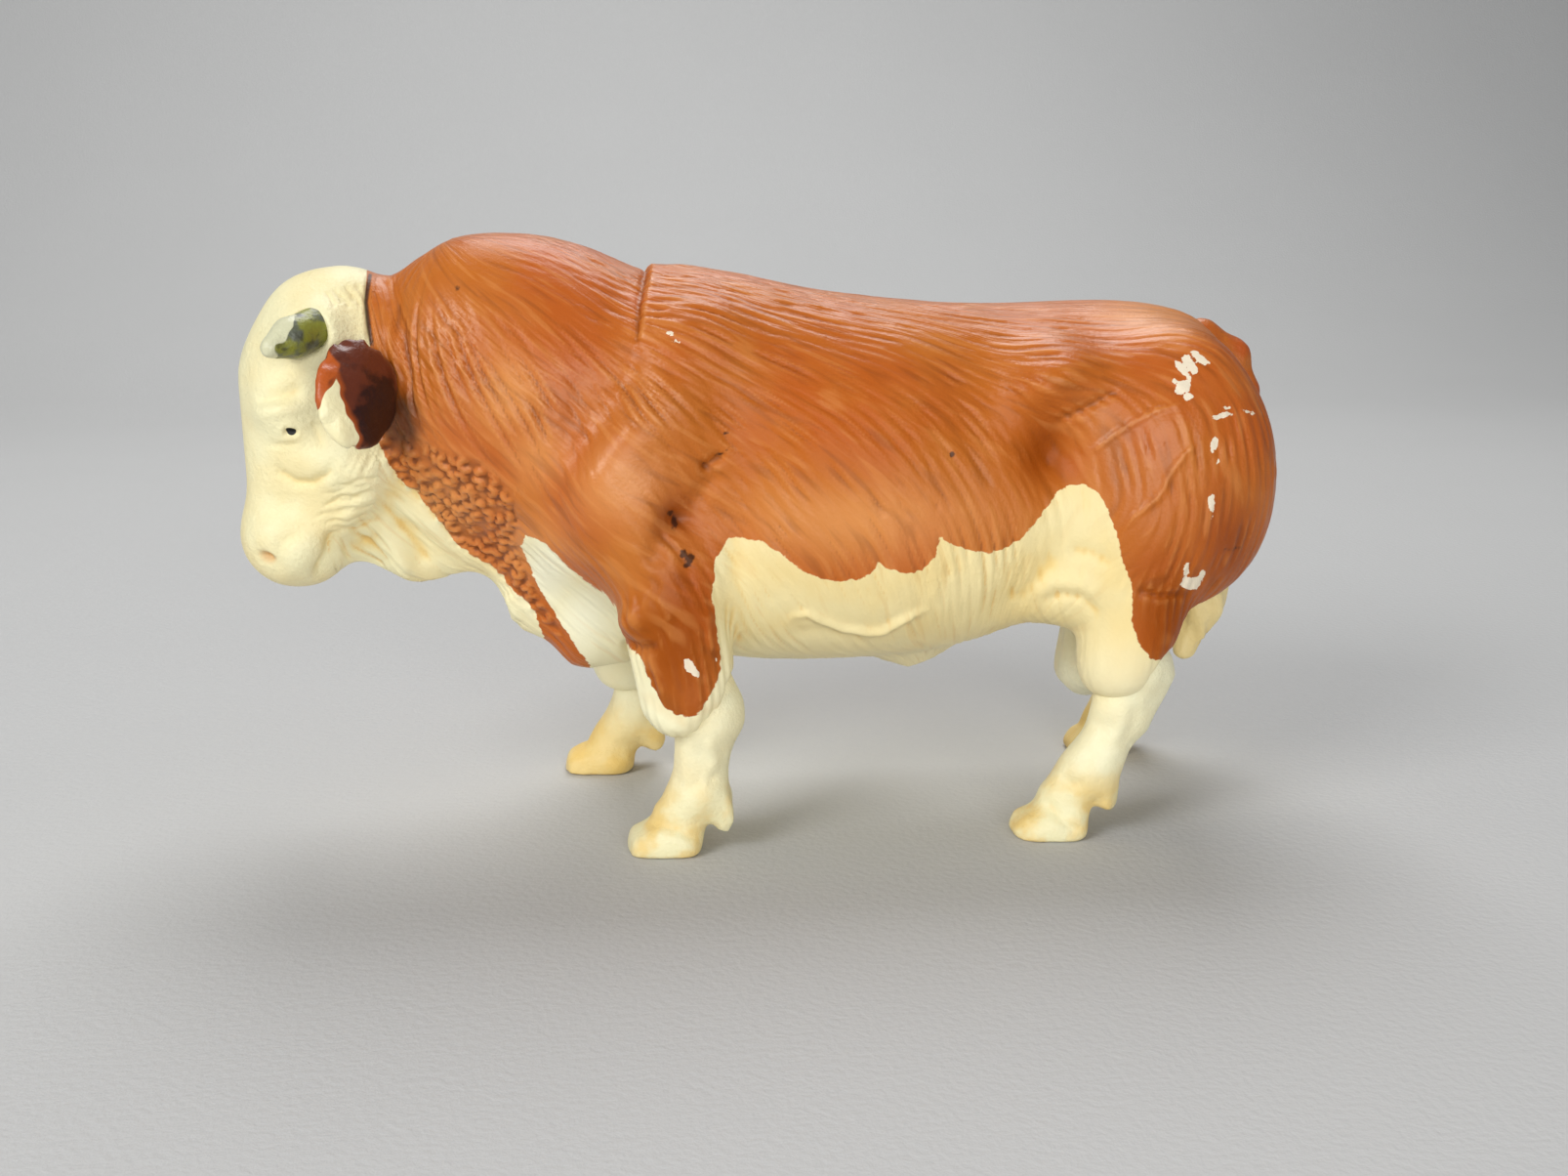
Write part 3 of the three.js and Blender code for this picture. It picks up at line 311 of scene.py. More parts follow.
# Grooves: distance apart, step along them, depth, width, and the ridge between two of them
HAIR_SPACING = 1.35
HAIR_STEP = 0.35
HAIR_DEPTH = 0.2
HAIR_WIDTH = 0.42
HAIR_RIDGE = 0.45
HAIR_RIDGE_WIDTH = 0.4
SHORT_HAIR = (4, 11)
LONG_HAIR = (11, 24)
SHORT_SHARE = 0.6
LEAST_STRENGTH = 0.05
LEAST_AT_START = 0.08
LEAST_SAMPLES = 6
PAST_MIDDLE = 0.6
CLOSEST_HAIR = 0.62


def hair_way(places):
    """The lie of the hair at places in the picture, as an angle."""
    lies = np.array(HAIR_LIES, float)
    gap = ((places[:, None, :] - lies[None, :, :2]) ** 2).sum(2)
    weight = 1 / (gap + LIE_REACH) ** LIE_FALL
    angle = np.radians(lies[:, 2])
    return np.arctan2((weight * np.sin(angle)).sum(1), (weight * np.cos(angle)).sum(1))


def hair_strength(places):
    """How deep the coat is at places in the picture, 1 where it is plain."""
    strength = np.ones(len(places))
    for x, y, radius, there in COAT_SPOTS:
        gap = np.hypot(places[:, 0] - x, places[:, 1] - y) / radius
        strength *= 1 + (there - 1) * np.exp(-(gap**2))
    return strength * ease(inside(CURLS, places), 0.5, -0.8)


def across_hair(skin, points, normals, angle):
    """A value that grows across the lie of the hair, about one for each millimetre."""
    flow = np.stack([np.cos(angle), np.zeros(len(angle)), -np.sin(angle)], 1)
    flow -= normals * (flow * normals).sum(1)[:, None]
    flow /= np.maximum(np.linalg.norm(flow, axis=1), 0.05)[:, None]
    side = np.cross(normals, flow)
    here, there = skin.pairs.T
    rise = ((points[here] - points[there]) * (side[here] + side[there])).sum(1) / 2
    evenness = np.bincount(here, rise * rise, len(points))
    growth = np.ones(len(points))
    across = np.zeros(len(points))
    for _ in range(5):
        across = levelled(skin, across, rise * (growth[here] + growth[there]) / 2)
        growth = np.bincount(here, rise * (across[here] - across[there]), len(points)) / evenness
        growth = skin.spread(np.clip(growth, 0.4, 3.0), 12)
    return across


def levelled(skin, values, rise):
    """Values at points whose differences come closest to a given rise along each edge."""
    here, there = skin.pairs.T

    def drawn(v):
        return skin.count * v - np.bincount(here, v[there], len(v))

    rest = np.bincount(here, rise, len(values)) - drawn(values)
    way = rest.copy()
    size = rest @ rest
    for _ in range(160):
        moved = drawn(way)
        step = size / (way @ moved)
        values = values + step * way
        rest = rest - step * moved
        new_size = rest @ rest
        way = rest + new_size / size * way
        size = new_size
    return values


class Cells:
    """Samples in a grid of cells, in which those close to a place are found quickly."""

    AROUND = [(i, j, k) for i in (-1, 0, 1) for j in (-1, 0, 1) for k in (-1, 0, 1)]

    def __init__(self, size):
        self.size = size
        self.held = {}

    def cell(self, p):
        return tuple(int(math.floor(v / self.size)) for v in p[:3])

    def add(self, p):
        self.held.setdefault(self.cell(p), []).append(p)

    def crowded(self, p, least):
        """Whether a sample lies closer to a place than the least distance."""
        a, b, c = self.cell(p)
        for i, j, k in self.AROUND:
            for q in self.held.get((a + i, b + j, c + k), ()):
                if (q[0] - p[0]) ** 2 + (q[1] - p[1]) ** 2 + (q[2] - p[2]) ** 2 < least * least:
                    return True
        return False


def found_by_place(points):
    """A tree that finds the nearest of some points."""
    tree = KDTree(len(points))
    for i, p in enumerate(points):
        tree.insert(p[:3], i)
    tree.balance()
    return tree


def combed(skin, places):
    """Grooves drawn over the left side with the lie of the hair, evenly spaced."""
    tree = BVHTree.FromPolygons(skin.points.tolist(), skin.quads.tolist())
    start = np.flatnonzero(skin.points[:, 1] < 0.5)
    random.shuffle(start)
    angle = hair_way(places)
    strength = hair_strength(places)
    index = found_by_place(skin.points)
    taken = Cells(HAIR_SPACING)

    def half_stroke(first, steps, way):
        """Samples from a point of the skin along the hair, or against it."""
        at = Vector(skin.points[first])
        part = []
        for _ in range(steps):
            hit, normal, face, gap = tree.find_nearest(at)
            if hit is None or taken.crowded(hit, HAIR_SPACING * CLOSEST_HAIR):
                break
            near = index.find(hit)[1]
            if strength[near] < LEAST_STRENGTH or hit.y > PAST_MIDDLE:
                break
            part.append((hit.x, hit.y, hit.z, strength[near]))
            flow = Vector((math.cos(angle[near]), 0, -math.sin(angle[near])))
            flow -= normal * flow.dot(normal)
            if flow.length < 1e-3:
                break
            at = hit + flow.normalized() * (HAIR_STEP * way)
        return part

    strokes = []
    for first in start[: len(start) // 2]:
        if strength[first] < LEAST_AT_START:
            continue
        if taken.crowded(skin.points[first], HAIR_SPACING * random.uniform(0.85, 1.25)):
            continue
        lengths = SHORT_HAIR if random.random() < SHORT_SHARE else LONG_HAIR
        reach = random.uniform(*lengths) * min(max(strength[first], 1), 2.2)
        steps = int(reach / HAIR_STEP / 2)
        line = half_stroke(first, steps, -1)[::-1] + half_stroke(first, steps, 1)
        if len(line) < LEAST_SAMPLES:
            continue
        for p in line:
            taken.add(p)
        depth = HAIR_DEPTH * random.uniform(0.45, 1.3)
        for i, p in enumerate(line):
            taper = math.sin(math.pi * (i + 0.5) / len(line)) ** 0.6
            strokes.append((*p[:3], depth * taper * p[3]))
    return np.array(strokes)


def nearest(samples, points):
    """For each point, the distance to the nearest sample and that sample's last value."""
    tree = found_by_place(samples)
    found = [tree.find(p) for p in points]
    gap = np.array([f[2] for f in found])
    value = samples[[f[1] for f in found], 3]
    return gap, value


# Curls on the throat and the brisket

CURLS = [
    (380, 446), (402, 440), (428, 452), (456, 466), (492, 476), (516, 500), (530, 530), (526, 552),
    (534, 583), (548, 610), (570, 641), (575, 650), (560, 640), (547, 627), (526, 604), (502, 578),
    (470, 557), (440, 522), (412, 493), (388, 460),
]
CURL_SPACING = 1.45
CURL_HEIGHT = 0.7
CURL_WIDTH = 0.46
CURL_SUNK = 0.25
CURL_RADIUS = (0.35, 0.85)
CURL_TURN = (1.2, 3.2)


def curled(skin, places, normals):
    """Short raised arcs, one beside another, as samples with a height."""
    here = np.flatnonzero((inside(CURLS, places) > 0) & (skin.points[:, 1] < 0))
    random.shuffle(here)
    kept = []
    for i in here:
        p = skin.points[i]
        if all(((p - skin.points[j]) ** 2).sum() > CURL_SPACING**2 for j in kept):
            kept.append(i)
    samples = []
    for i in kept:
        normal = Vector(normals[i])
        level = normal.orthogonal().normalized()
        upright = normal.cross(level)
        start = random.uniform(0, 2 * math.pi)
        radius = random.uniform(*CURL_RADIUS)
        height = CURL_HEIGHT * random.uniform(0.6, 1.2)
        for turn in np.linspace(0, random.uniform(*CURL_TURN), 9):
            way = level * math.cos(start + turn) + upright * math.sin(start + turn)
            p = Vector(skin.points[i]) + way * radius
            samples.append((p.x, p.y, p.z, height))
    return np.array(samples)


# Folds, veins and creases: a line in the picture, its half width and its height in millimetres

BELLY_VEIN = [
    (801, 639), (816, 630), (828, 628), (842, 635), (862, 643), (893, 647), (906, 645), (919, 637),
    (939, 628), (958, 621),
]
TRUNK_FOLDS = [
    ([(402, 284), (407, 330), (413, 360), (421, 415)], 0.8, -0.8),
    ([(602, 368), (594, 406), (587, 450), (584, 492)], 2.4, -0.5),
    ([(651, 350), (640, 385), (626, 408)], 1.6, -0.35),
    ([(681, 419), (640, 452), (612, 478), (586, 508)], 3.6, 0.35),
    ([(716, 484), (728, 474), (743, 463)], 0.7, -0.7),
    ([(690, 532), (676, 556), (668, 585)], 1.6, -0.6),
    ([(704, 523), (722, 500), (738, 480)], 1.3, -0.5),
    ([(1076, 435), (1102, 424), (1128, 409), (1153, 396)], 0.55, -0.5),
    ([(1118, 481), (1120, 462), (1139, 447), (1162, 432), (1187, 419), (1217, 412)], 0.42, 0.36),
    ([(1146, 549), (1163, 528), (1187, 509), (1201, 481), (1216, 462), (1234, 448)], 0.42, 0.34),
    ([(1161, 603), (1187, 610), (1205, 609), (1222, 608)], 0.42, -0.4),
    (BELLY_VEIN, 0.48, 0.75),
    ([(800, 648), (842, 646), (893, 657)], 0.9, -0.25),
    ([(1062, 619), (1087, 608), (1108, 612), (1122, 626), (1125, 642)], 0.8, -0.45),
    ([(1050, 612), (1080, 598), (1110, 600), (1132, 616)], 1.2, 0.4),
    ([(1085, 563), (1059, 599), (1031, 620)], 1.0, -0.3),
    ([(1092, 561), (1118, 566), (1144, 582)], 1.0, -0.4),
    ([(394, 504), (425, 530), (461, 558), (500, 584)], 0.9, 0.4),
    ([(386, 528), (402, 556), (424, 598)], 1.0, 0.5),
    ([(400, 528), (420, 545), (440, 582)], 1.2, -0.4),
    ([(372, 548), (384, 566), (396, 584)], 1.4, -0.5),
    ([(520, 606), (526, 624), (528, 640)], 0.8, 0.5),
    ([(625, 640), (637, 668), (648, 700), (660, 725), (682, 744), (712, 749), (734, 738)], 1.2, 0.5),
    ([(659, 668), (672, 690), (682, 716)], 0.6, 0.25),
    ([(740, 640), (750, 680), (748, 712), (730, 742)], 1.4, 0.25),
    ([(756, 640), (762, 690), (756, 720)], 1.2, -0.2),
    ([(654, 610), (672, 617), (690, 640)], 1.4, 0.3),
    ([(636, 656), (654, 664), (676, 662)], 0.8, -0.8),
    ([(722, 622), (728, 650), (731, 672)], 0.8, 0.4),
]
HEAD_FOLDS = [
    ([(378, 280), (375, 308), (377, 330), (379, 360)], 0.35, -0.6),
    ([(254, 411), (275, 409), (292, 404), (314, 397)], 1.0, -0.6),
    ([(289, 441), (307, 442)], 0.5, -0.6),
    ([(282, 470), (287, 484), (302, 494), (320, 495), (336, 485), (342, 464)], 0.7, -0.6),
    ([(340, 540), (338, 566), (320, 594)], 0.9, -1.1),
    ([(286, 594), (285, 576), (290, 556), (312, 541)], 0.9, -0.4),
    ([(396, 502), (366, 518), (344, 540)], 1.5, 0.7),
    ([(374, 461), (366, 474), (358, 490)], 0.5, -0.2),
    ([(366, 460), (359, 472), (350, 487)], 0.5, -0.18),
    ([(383, 462), (375, 478), (368, 492)], 0.5, -0.2),
    ([(318, 430), (326, 446), (330, 462)], 0.6, -0.2),
    ([(270, 452), (280, 456), (296, 455), (310, 452)], 0.5, -0.2),
]
WRINKLE_STARTS = [
    (338, 500), (328, 507), (336, 513), (324, 519), (332, 525), (318, 531), (328, 537), (336, 543),
    (330, 549),
]
WRINKLE_REACH = 56
WRINKLE_RISE = 13
WRINKLE_WAVE = 1.4
WRINKLE_WIDTH = 0.3
POLL_STROKES = [(332, 297), (340, 294), (347, 298), (352, 292), (359, 297), (363, 290)]
HEAD_SWELLINGS = [
    (299, 444, 16, 12, 0, 0.5), (312, 474, 25, 15, 12, 0.4), (308, 568, 20, 22, 0, 0.6),
    (273, 571, 8, 4.5, 35, -1.1), (366, 556, 18, 14, -20, -0.5), (272, 548, 18, 14, 0, 0.4),
    (285, 420, 26, 9, -8, 0.5), (286, 516, 22, 14, 0, -0.4), (275, 360, 30, 30, 0, 0.3),
]
EYE = [(298, 441, 5.5, 3.6, 15)]
NOSTRIL = [(273, 571, 9, 5.5, 35)]


def wrinkles():
    """Wavy lines across the cheek and short strokes on the poll."""
    lines = []
    for x, y in WRINKLE_STARTS:
        phase = random.uniform(0, 6)
        share = np.linspace(0, 1, 9)
        wave = WRINKLE_WAVE * np.sin(share * 13 + phase)
        line = np.stack([x + WRINKLE_REACH * share, y - WRINKLE_RISE * share + wave], 1)
        lines.append((line, WRINKLE_WIDTH, -random.uniform(0.14, 0.3)))
    for x, y in POLL_STROKES:
        lines.append(([(x, y), (x + 7, y + 8), (x + 12, y + 19)], 0.32, -0.22))
    return lines


WITHERS_CREASE = [(664, 262), (662, 278), (655, 313), (651, 359)]
WITHERS_STEP = 0.9
WITHERS_FALL = 4.5
WITHERS_GROOVE = 0.35
WITHERS_EDGE = 0.7
WITHERS_GROOVE_WIDTH = 0.5

# Swellings and hollows: place, radii and lean in the picture, and height in millimetres
TRUNK_SWELLINGS = [
    (696, 530, 13, 10, 0, -0.9), (1078, 464, 20, 34, 20, -1.0), (1076, 390, 34, 16, -18, 0.9),
    (650, 634, 15, 17, 0, 1.6), (1120, 350, 40, 14, 15, -0.4), (755, 570, 14, 40, 0, -0.5),
    (706, 590, 10, 30, -20, -0.3),
]
ALL_FOLDS = TRUNK_FOLDS + HEAD_FOLDS + wrinkles()
ALL_SWELLINGS = TRUNK_SWELLINGS + HEAD_SWELLINGS


def from_middle(places, x, y, wide, tall, lean):
    """How far places lie from the middle of a leaning oval, in its radii across and up."""
    c = math.cos(math.radians(lean))
    s = math.sin(math.radians(lean))
    across = ((places[:, 0] - x) * c + (places[:, 1] - y) * s) / wide
    up = ((places[:, 1] - y) * c - (places[:, 0] - x) * s) / tall
    return across, up


def sculpted(places, ahead, folds, swellings):
    """The height of folds and swellings at places in the picture."""
    height = np.zeros(len(places))
    for line, width, rise in folds:
        gap, share = to_line(line, places)[:2]
        ends = ease(np.minimum(share, 1 - share), 0, 0.25)
        height += rise * ends * np.exp(-((gap / PIXELS_PER_MM / width) ** 2))
    for *oval, rise in swellings:
        across, up = from_middle(places, *oval)
        height += rise * np.exp(-(across * across + up * up))
    return height * ease(ahead, 0.05, 0.35)


def withers_fold(places):
    """The step where the body rises behind the neck, with a groove along it."""
    gap, share, side = to_line(WITHERS_CREASE, places)
    gap = gap / PIXELS_PER_MM
    step = WITHERS_STEP * ease(-side * gap, 0.0, WITHERS_EDGE) * np.exp(-((gap / WITHERS_FALL) ** 2))
    groove = WITHERS_GROOVE * np.exp(-((gap / WITHERS_GROOVE_WIDTH) ** 2))
    return (step - groove) * ease(share, 1.0, 0.75)


# Paint: the chestnut area of the trunk as it lies in the picture

CHESTNUT = [
    (360, 100), (1450, 100), (1450, 640), (1230, 640), (1213, 645), (1205, 665), (1190, 677), (1180, 675),
    (1167, 660), (1160, 640), (1159, 598), (1149, 570), (1143, 544), (1136, 523), (1125, 504), (1111, 496),
    (1097, 496), (1083, 504), (1072, 520), (1059, 535), (1046, 551), (1028, 562), (1010, 566), (990, 563),
    (972, 556), (963, 549), (957, 571), (944, 584), (930, 588), (906, 581), (899, 575), (896, 584),
    (883, 593), (862, 595), (842, 593), (824, 585), (799, 565), (778, 553), (747, 550), (733, 571),
    (732, 593), (728, 610), (731, 622), (733, 636), (734, 656), (738, 673), (737, 687), (732, 704),
    (722, 721), (715, 731), (707, 734), (693, 732), (681, 724), (671, 707), (663, 690), (659, 677),
    (647, 668), (637, 656), (634, 639), (635, 627), (619, 608), (601, 595), (582, 581), (565, 562),
    (553, 553), (538, 548), (534, 559), (543, 583), (557, 610), (577, 641), (596, 670), (611, 692),
    (598, 706), (560, 660), (547, 627), (543, 620), (526, 604), (514, 589), (502, 578), (486, 569),
    (470, 557), (455, 540), (440, 522), (427, 503), (412, 493), (404, 484), (393, 466), (388, 452),
    (360, 420), (360, 288),
]
HEAD_BROWN = [(376, 262), (375, 308), (378, 346), (384, 420), (388, 452), (430, 452), (430, 262)]
HEAD_SEAM = [(379, 282), (375, 308), (377, 330), (380, 352)]
# Spots where the paint has come off: place, radii and lean
CHIPS = [
    (707, 684, 7, 5, 70), (712, 690, 4, 3, 0), (704, 678, 3, 3, 0), (734, 673, 2.8, 6, 0),
    (1230.5, 367, 11, 3.2, 40), (1219.6, 374.4, 13, 3, 49), (1211.5, 379, 10, 3.2, 50),
    (1212, 396, 8, 7, 0), (1207, 402, 4, 5, 0), (1217, 406, 6, 4, 0), (1204, 391, 4, 2, 60),
    (1254, 425, 10, 2.6, -12), (1258, 417, 6, 2.2, 0), (1275, 421, 8, 2.2, 10),
    (1244, 455, 3, 8, 10), (1248, 472, 2, 4, 0), (1241, 517, 2.4, 10, 0),
    (1220, 597, 11, 7, 0), (1216, 585, 3.5, 7, 0), (1231, 590, 2.5, 6, 0),
    (687, 343, 7, 2.2, 20), (694, 350, 6, 2.2, 20), (698, 344, 2.2, 4, 0),
]
# The ear's painted shadow on the neck: place, radii and lean
EAR_SHADE = [(412, 436, 26, 36, 0)]
# Soft patches: place and radii
# Painted shade on shaded parts of the coat
SHADE_PATCHES = [
    (690, 660, 44, 74), (1195, 630, 40, 60), (1262, 560, 30, 60), (1070, 460, 24, 36),
    (690, 530, 20, 20),
]
# Painted highlights on lit parts of the coat
HIGHLIGHT_PATCHES = [
    (880, 535, 130, 40), (630, 500, 44, 40), (1180, 318, 70, 24), (460, 520, 50, 50), (540, 560, 40, 40),
    (552, 468, 32, 34), (520, 400, 30, 40),
]
MATT_PATCHES = [
    (850, 455, 110, 60), (1200, 640, 50, 60), (690, 650, 50, 60), (500, 264, 60, 22), (1070, 460, 40, 50),
]
GLOSS_PATCHES = [
    (450, 370, 40, 70), (585, 405, 40, 44), (640, 490, 40, 30), (1150, 460, 44, 40), (664, 410, 30, 24),
]
# The cream strip at the shoulder, whitened as painted light
LIT_STRIP = [(560, 585, 34, 40), (600, 635, 34, 40)]
DARK_SPOTS = [
    (700, 567, 3, 4, 0), (707, 572, 4, 5, 0), (704, 579, 3, 2, 0), (689, 526, 4, 3, 0),
    (694, 534, 2.5, 5, 0), (975, 465, 1.8, 1.8, 0), (468, 294, 2.4, 2, 0), (1256, 563, 9, 1.6, -8),
    (744, 444, 2.5, 1.4, 0), (737, 466, 8, 0.9, -38), (722, 476, 5, 0.8, -38),
]
FAR_OUTSIDE = -5.0
# The chestnut stays off the insides of the upper legs: nearer the middle than this, below this height
# and behind the brisket
INNER_LEG = 14
INNER_TOP = 32
BRISKET_BLEND = (-22, -26)


def spots(marks, places, ragged):
    """How far places lie inside any of some small ragged marks, in millimetres."""
    depth = np.full(len(places), FAR_OUTSIDE)
    for x, y, wide, tall, lean in marks:
        reach = np.hypot(*from_middle(places, x, y, wide, tall, lean))
        depth = np.maximum(depth, (1 - reach) * min(wide, tall) / PIXELS_PER_MM)
    return depth + ragged


def patches(marks, places):
    """Soft patches, 1 in their middles."""
    share = np.zeros(len(places))
    for x, y, wide, tall in marks:
        reach = ((places[:, 0] - x) / wide) ** 2 + ((places[:, 1] - y) / tall) ** 2
        share = np.maximum(share, np.exp(-reach))
    return share


def wavering(points, size):
    """Smooth random values between about -1 and 1 that vary over a size."""
    waves = np.zeros(len(points))
    for _ in range(14):
        way = random.normal(size=3)
        waves += np.sin(points @ (way / size * 2.2) + random.uniform(0, 6.3))
    return waves / 4


# The trunk, wrapped as one and then parted along its seams


def trunk_skin():
    """One skin round body, neck and head, with the sockets of the legs and horns stopped."""
    neck = triangles_of("neck")
    head = triangles_of("head")
    parts = [triangles_of("body"), neck, (neck[0] + [SEAM_REACH, 0, 0], neck[1])]
    parts += [head, (head[0] + [SEAM_REACH, 0, 0], head[1])]
    parts += [stopper(centre, SLEEVE_STOP) for centre in SLEEVE_ENDS]
    parts += [stopper(centre, HORN_STOP) for centre in HORN_SOCKETS]
    skin = wrapped(parts, TRUNK_VOXEL)
    skin.smooth(TRUNK_SMOOTHING, TRUNK_VOXEL)
    for middle, length, width, top, drop in HANGING:
        x, y, z = skin.points.T
        tip = np.clip(1 - np.abs(x - middle) / length, 0, 1) * np.exp(-((y / width) ** 2))
        skin.points[:, 2] -= drop * tip * ease(z, top, top - HANGING_FADE)
    return skin


def trunk_looks(skin):
    """Sculpts the trunk and gives its paint, as values at its points."""
    plain = skin.points.copy()
    x, y, z = plain.T
    mirrored = on_left(plain)
    places, ahead = seen(skin)
    normals = skin.normals()
    hair = combed(skin, places)
    curls = curled(skin, places, normals)

    skin.push(sculpted(places, ahead, ALL_FOLDS, ALL_SWELLINGS) + withers_fold(places))
    gap, depth = nearest(hair, mirrored)
    fine = -depth * np.exp(-((gap / HAIR_WIDTH) ** 2))
    fine += HAIR_RIDGE * depth * np.exp(-(((gap - HAIR_SPACING / 2) / HAIR_RIDGE_WIDTH) ** 2))
    gap, rise = nearest(curls, mirrored)
    in_curls = ease(inside(CURLS, places), -0.8, 0.4)
    fine += in_curls * (rise * np.exp(-((gap / CURL_WIDTH) ** 2)) - CURL_SUNK)
    skin.push(fine)

    mirrored_normals = normals * np.where(y > 0, -1, 1)[:, None] ** [0, 1, 0]
    outer = np.abs(y) - INNER_LEG + np.maximum(z - INNER_TOP, 0) * 3 + 30 * ease(x, *BRISKET_BLEND)
    paint = np.minimum(inside(CHESTNUT, places), outer)
    ragged = wavering(plain, 1.6) * 0.14
    return {
        "chestnut": paint + wavering(plain, 3) * 0.08,
        "chip": np.where(y < 0, spots(CHIPS, places, ragged), FAR_OUTSIDE),
        "dark": np.where(y < 0, spots(DARK_SPOTS, places, ragged), FAR_OUTSIDE),
        "curl": in_curls,
        "across": across_hair(skin, mirrored, mirrored_normals, hair_way(places)),
        "hairy": hair_strength(places),
        # The ear's painted shadow, patches of painted shade and painted highlights, the strip whitened as
        # painted light, and patches of gloss
        "shade": spots(EAR_SHADE, places, wavering(plain, 4) * 0.5),
        "deep": patches(SHADE_PATCHES, places),
        "pale": patches(HIGHLIGHT_PATCHES, places),
        "strip": patches(LIT_STRIP, places),
        "matt": patches(MATT_PATCHES, places) - patches(GLOSS_PATCHES, places),
        "seam": to_line(HEAD_SEAM, places)[0] / PIXELS_PER_MM,
    }


def with_hollows(skin, values):
    """Values for the paint, with how deep each point lies in narrow and in broad hollows, where the paint
    lays its painted shade and, on ridges, its painted highlights.
    """
    return values | {"hollow": skin.hollows(6), "valley": skin.hollows(60)}


# Making pieces


def add(name, data):
    """Puts a mesh, lamp or camera into the scene as an object."""
    made = bpy.data.objects.new(name, data)
    bpy.context.scene.collection.objects.link(made)
    return made


def piece(name, points, faces, values, material):
    """Stands a mesh in the place of the node of its name, and gives the mesh back."""
    mesh = bpy.data.meshes.new(name)
    mesh.from_pydata((points * MM).tolist(), [], faces)
    mesh.shade_smooth()
    for word, numbers in values.items():
        layer = mesh.attributes.new(word, "FLOAT", "POINT")
        layer.data.foreach_set("value", np.asarray(numbers, np.float32))
    mesh.materials.append(material)
    made = add(name, mesh)
    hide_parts(name)
    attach(made, "root")
    return mesh


def owners(skin, names):
    """Which of some nodes each face of a skin belongs to, with even lines between them."""
    gaps = []
    for name in names:
        points, faces = triangles_of(name)
        tree = BVHTree.FromPolygons(points.tolist(), faces.tolist())
        gap = np.array([tree.find_nearest(p)[3] for p in skin.points])
        gaps.append(skin.spread(gap, 24)[skin.quads].mean(1))
    owner = np.argmin(gaps, axis=0)
    for i in range(len(names)):
        mine = np.flatnonzero(owner == i)
        loose = mine[~in_largest(skin.quads[mine])]
        others = np.array(gaps)[:, loose]
        others[i] = np.inf
        owner[loose] = np.argmin(others, axis=0)
    return owner


def in_largest(quads):
    """Which faces belong to the largest connected sheet."""
    label = np.arange(quads.max() + 1)
    while True:
        low = label[quads].min(1)
        new = label.copy()
        np.minimum.at(new, quads.ravel(), np.repeat(low, 4))
        new = new[new]
        if (new == label).all():
            break
        label = new
    labels = label[quads[:, 0]]
    return labels == np.bincount(labels).argmax()


def finer(skin, kept):
    """The faces of a skin that are kept, each split in four, and which old face each came from."""
    quads = skin.quads[kept]
    sides = np.stack([quads, np.roll(quads, -1, axis=1)], 2)
    ends, side_of = np.unique(np.sort(sides.reshape(-1, 2), axis=1), axis=0, return_inverse=True)
    corners, corner_of = np.unique(quads, return_inverse=True)
    points = [skin.points[corners], skin.points[ends].mean(1), skin.points[quads].mean(1)]
    corner_of = corner_of.reshape(-1, 4)
    side_of = side_of.reshape(-1, 4) + len(corners)
    middle = np.arange(len(quads)) + len(corners) + len(ends)
    split = [np.stack([corner_of[:, i], side_of[:, i], middle, side_of[:, i - 1]], 1) for i in range(4)]
    return Skin(np.concatenate(points), np.concatenate(split)), np.tile(np.flatnonzero(kept), 4)


def half_piece(name, skin, quads, values, material):
    """A piece of a skin, turned in along its seam and closed, and shaded as if the skin ran on."""
    used, quads = np.unique(quads, return_inverse=True)
    quads = quads.reshape(-1, 4)
    normals = skin.normals()[used]
    points = skin.points[used]
    edges = np.concatenate([quads[:, [i, (i + 1) % 4]] for i in range(4)])
    known = set(map(tuple, edges.tolist()))
    seam = np.array([(b, a) for a, b in known if (b, a) not in known])
    rim, turned = np.unique(seam, return_inverse=True)
    turned = turned.reshape(-1, 2) + len(points)
    sunk = points[rim] - normals[rim] * TURNED_IN
    points = np.vstack([points, sunk, sunk.mean(0)])
    walls = np.column_stack([seam, turned[:, ::-1]])
    closing = np.column_stack([turned, np.full(len(turned), len(points) - 1)])
    values = {word: np.asarray(numbers)[used] for word, numbers in values.items()}
    values = {word: np.concatenate([numbers, numbers[rim], [0]]) for word, numbers in values.items()}
    faces = quads.tolist() + walls.tolist() + closing.tolist()
    mesh = piece(name, points, faces, values, material)
    mesh.normals_split_custom_set_from_vertices(np.vstack([normals, normals[rim], [1, 0, 0]]).tolist())


# Materials


def linear(red, green, blue):
    """A colour as seen on a screen, 0 to 255, as light."""
    share = [v / 255 for v in (red, green, blue)]
    return [v / 12.92 if v < 0.04045 else ((v + 0.055) / 1.055) ** 2.4 for v in share] + [1.0]


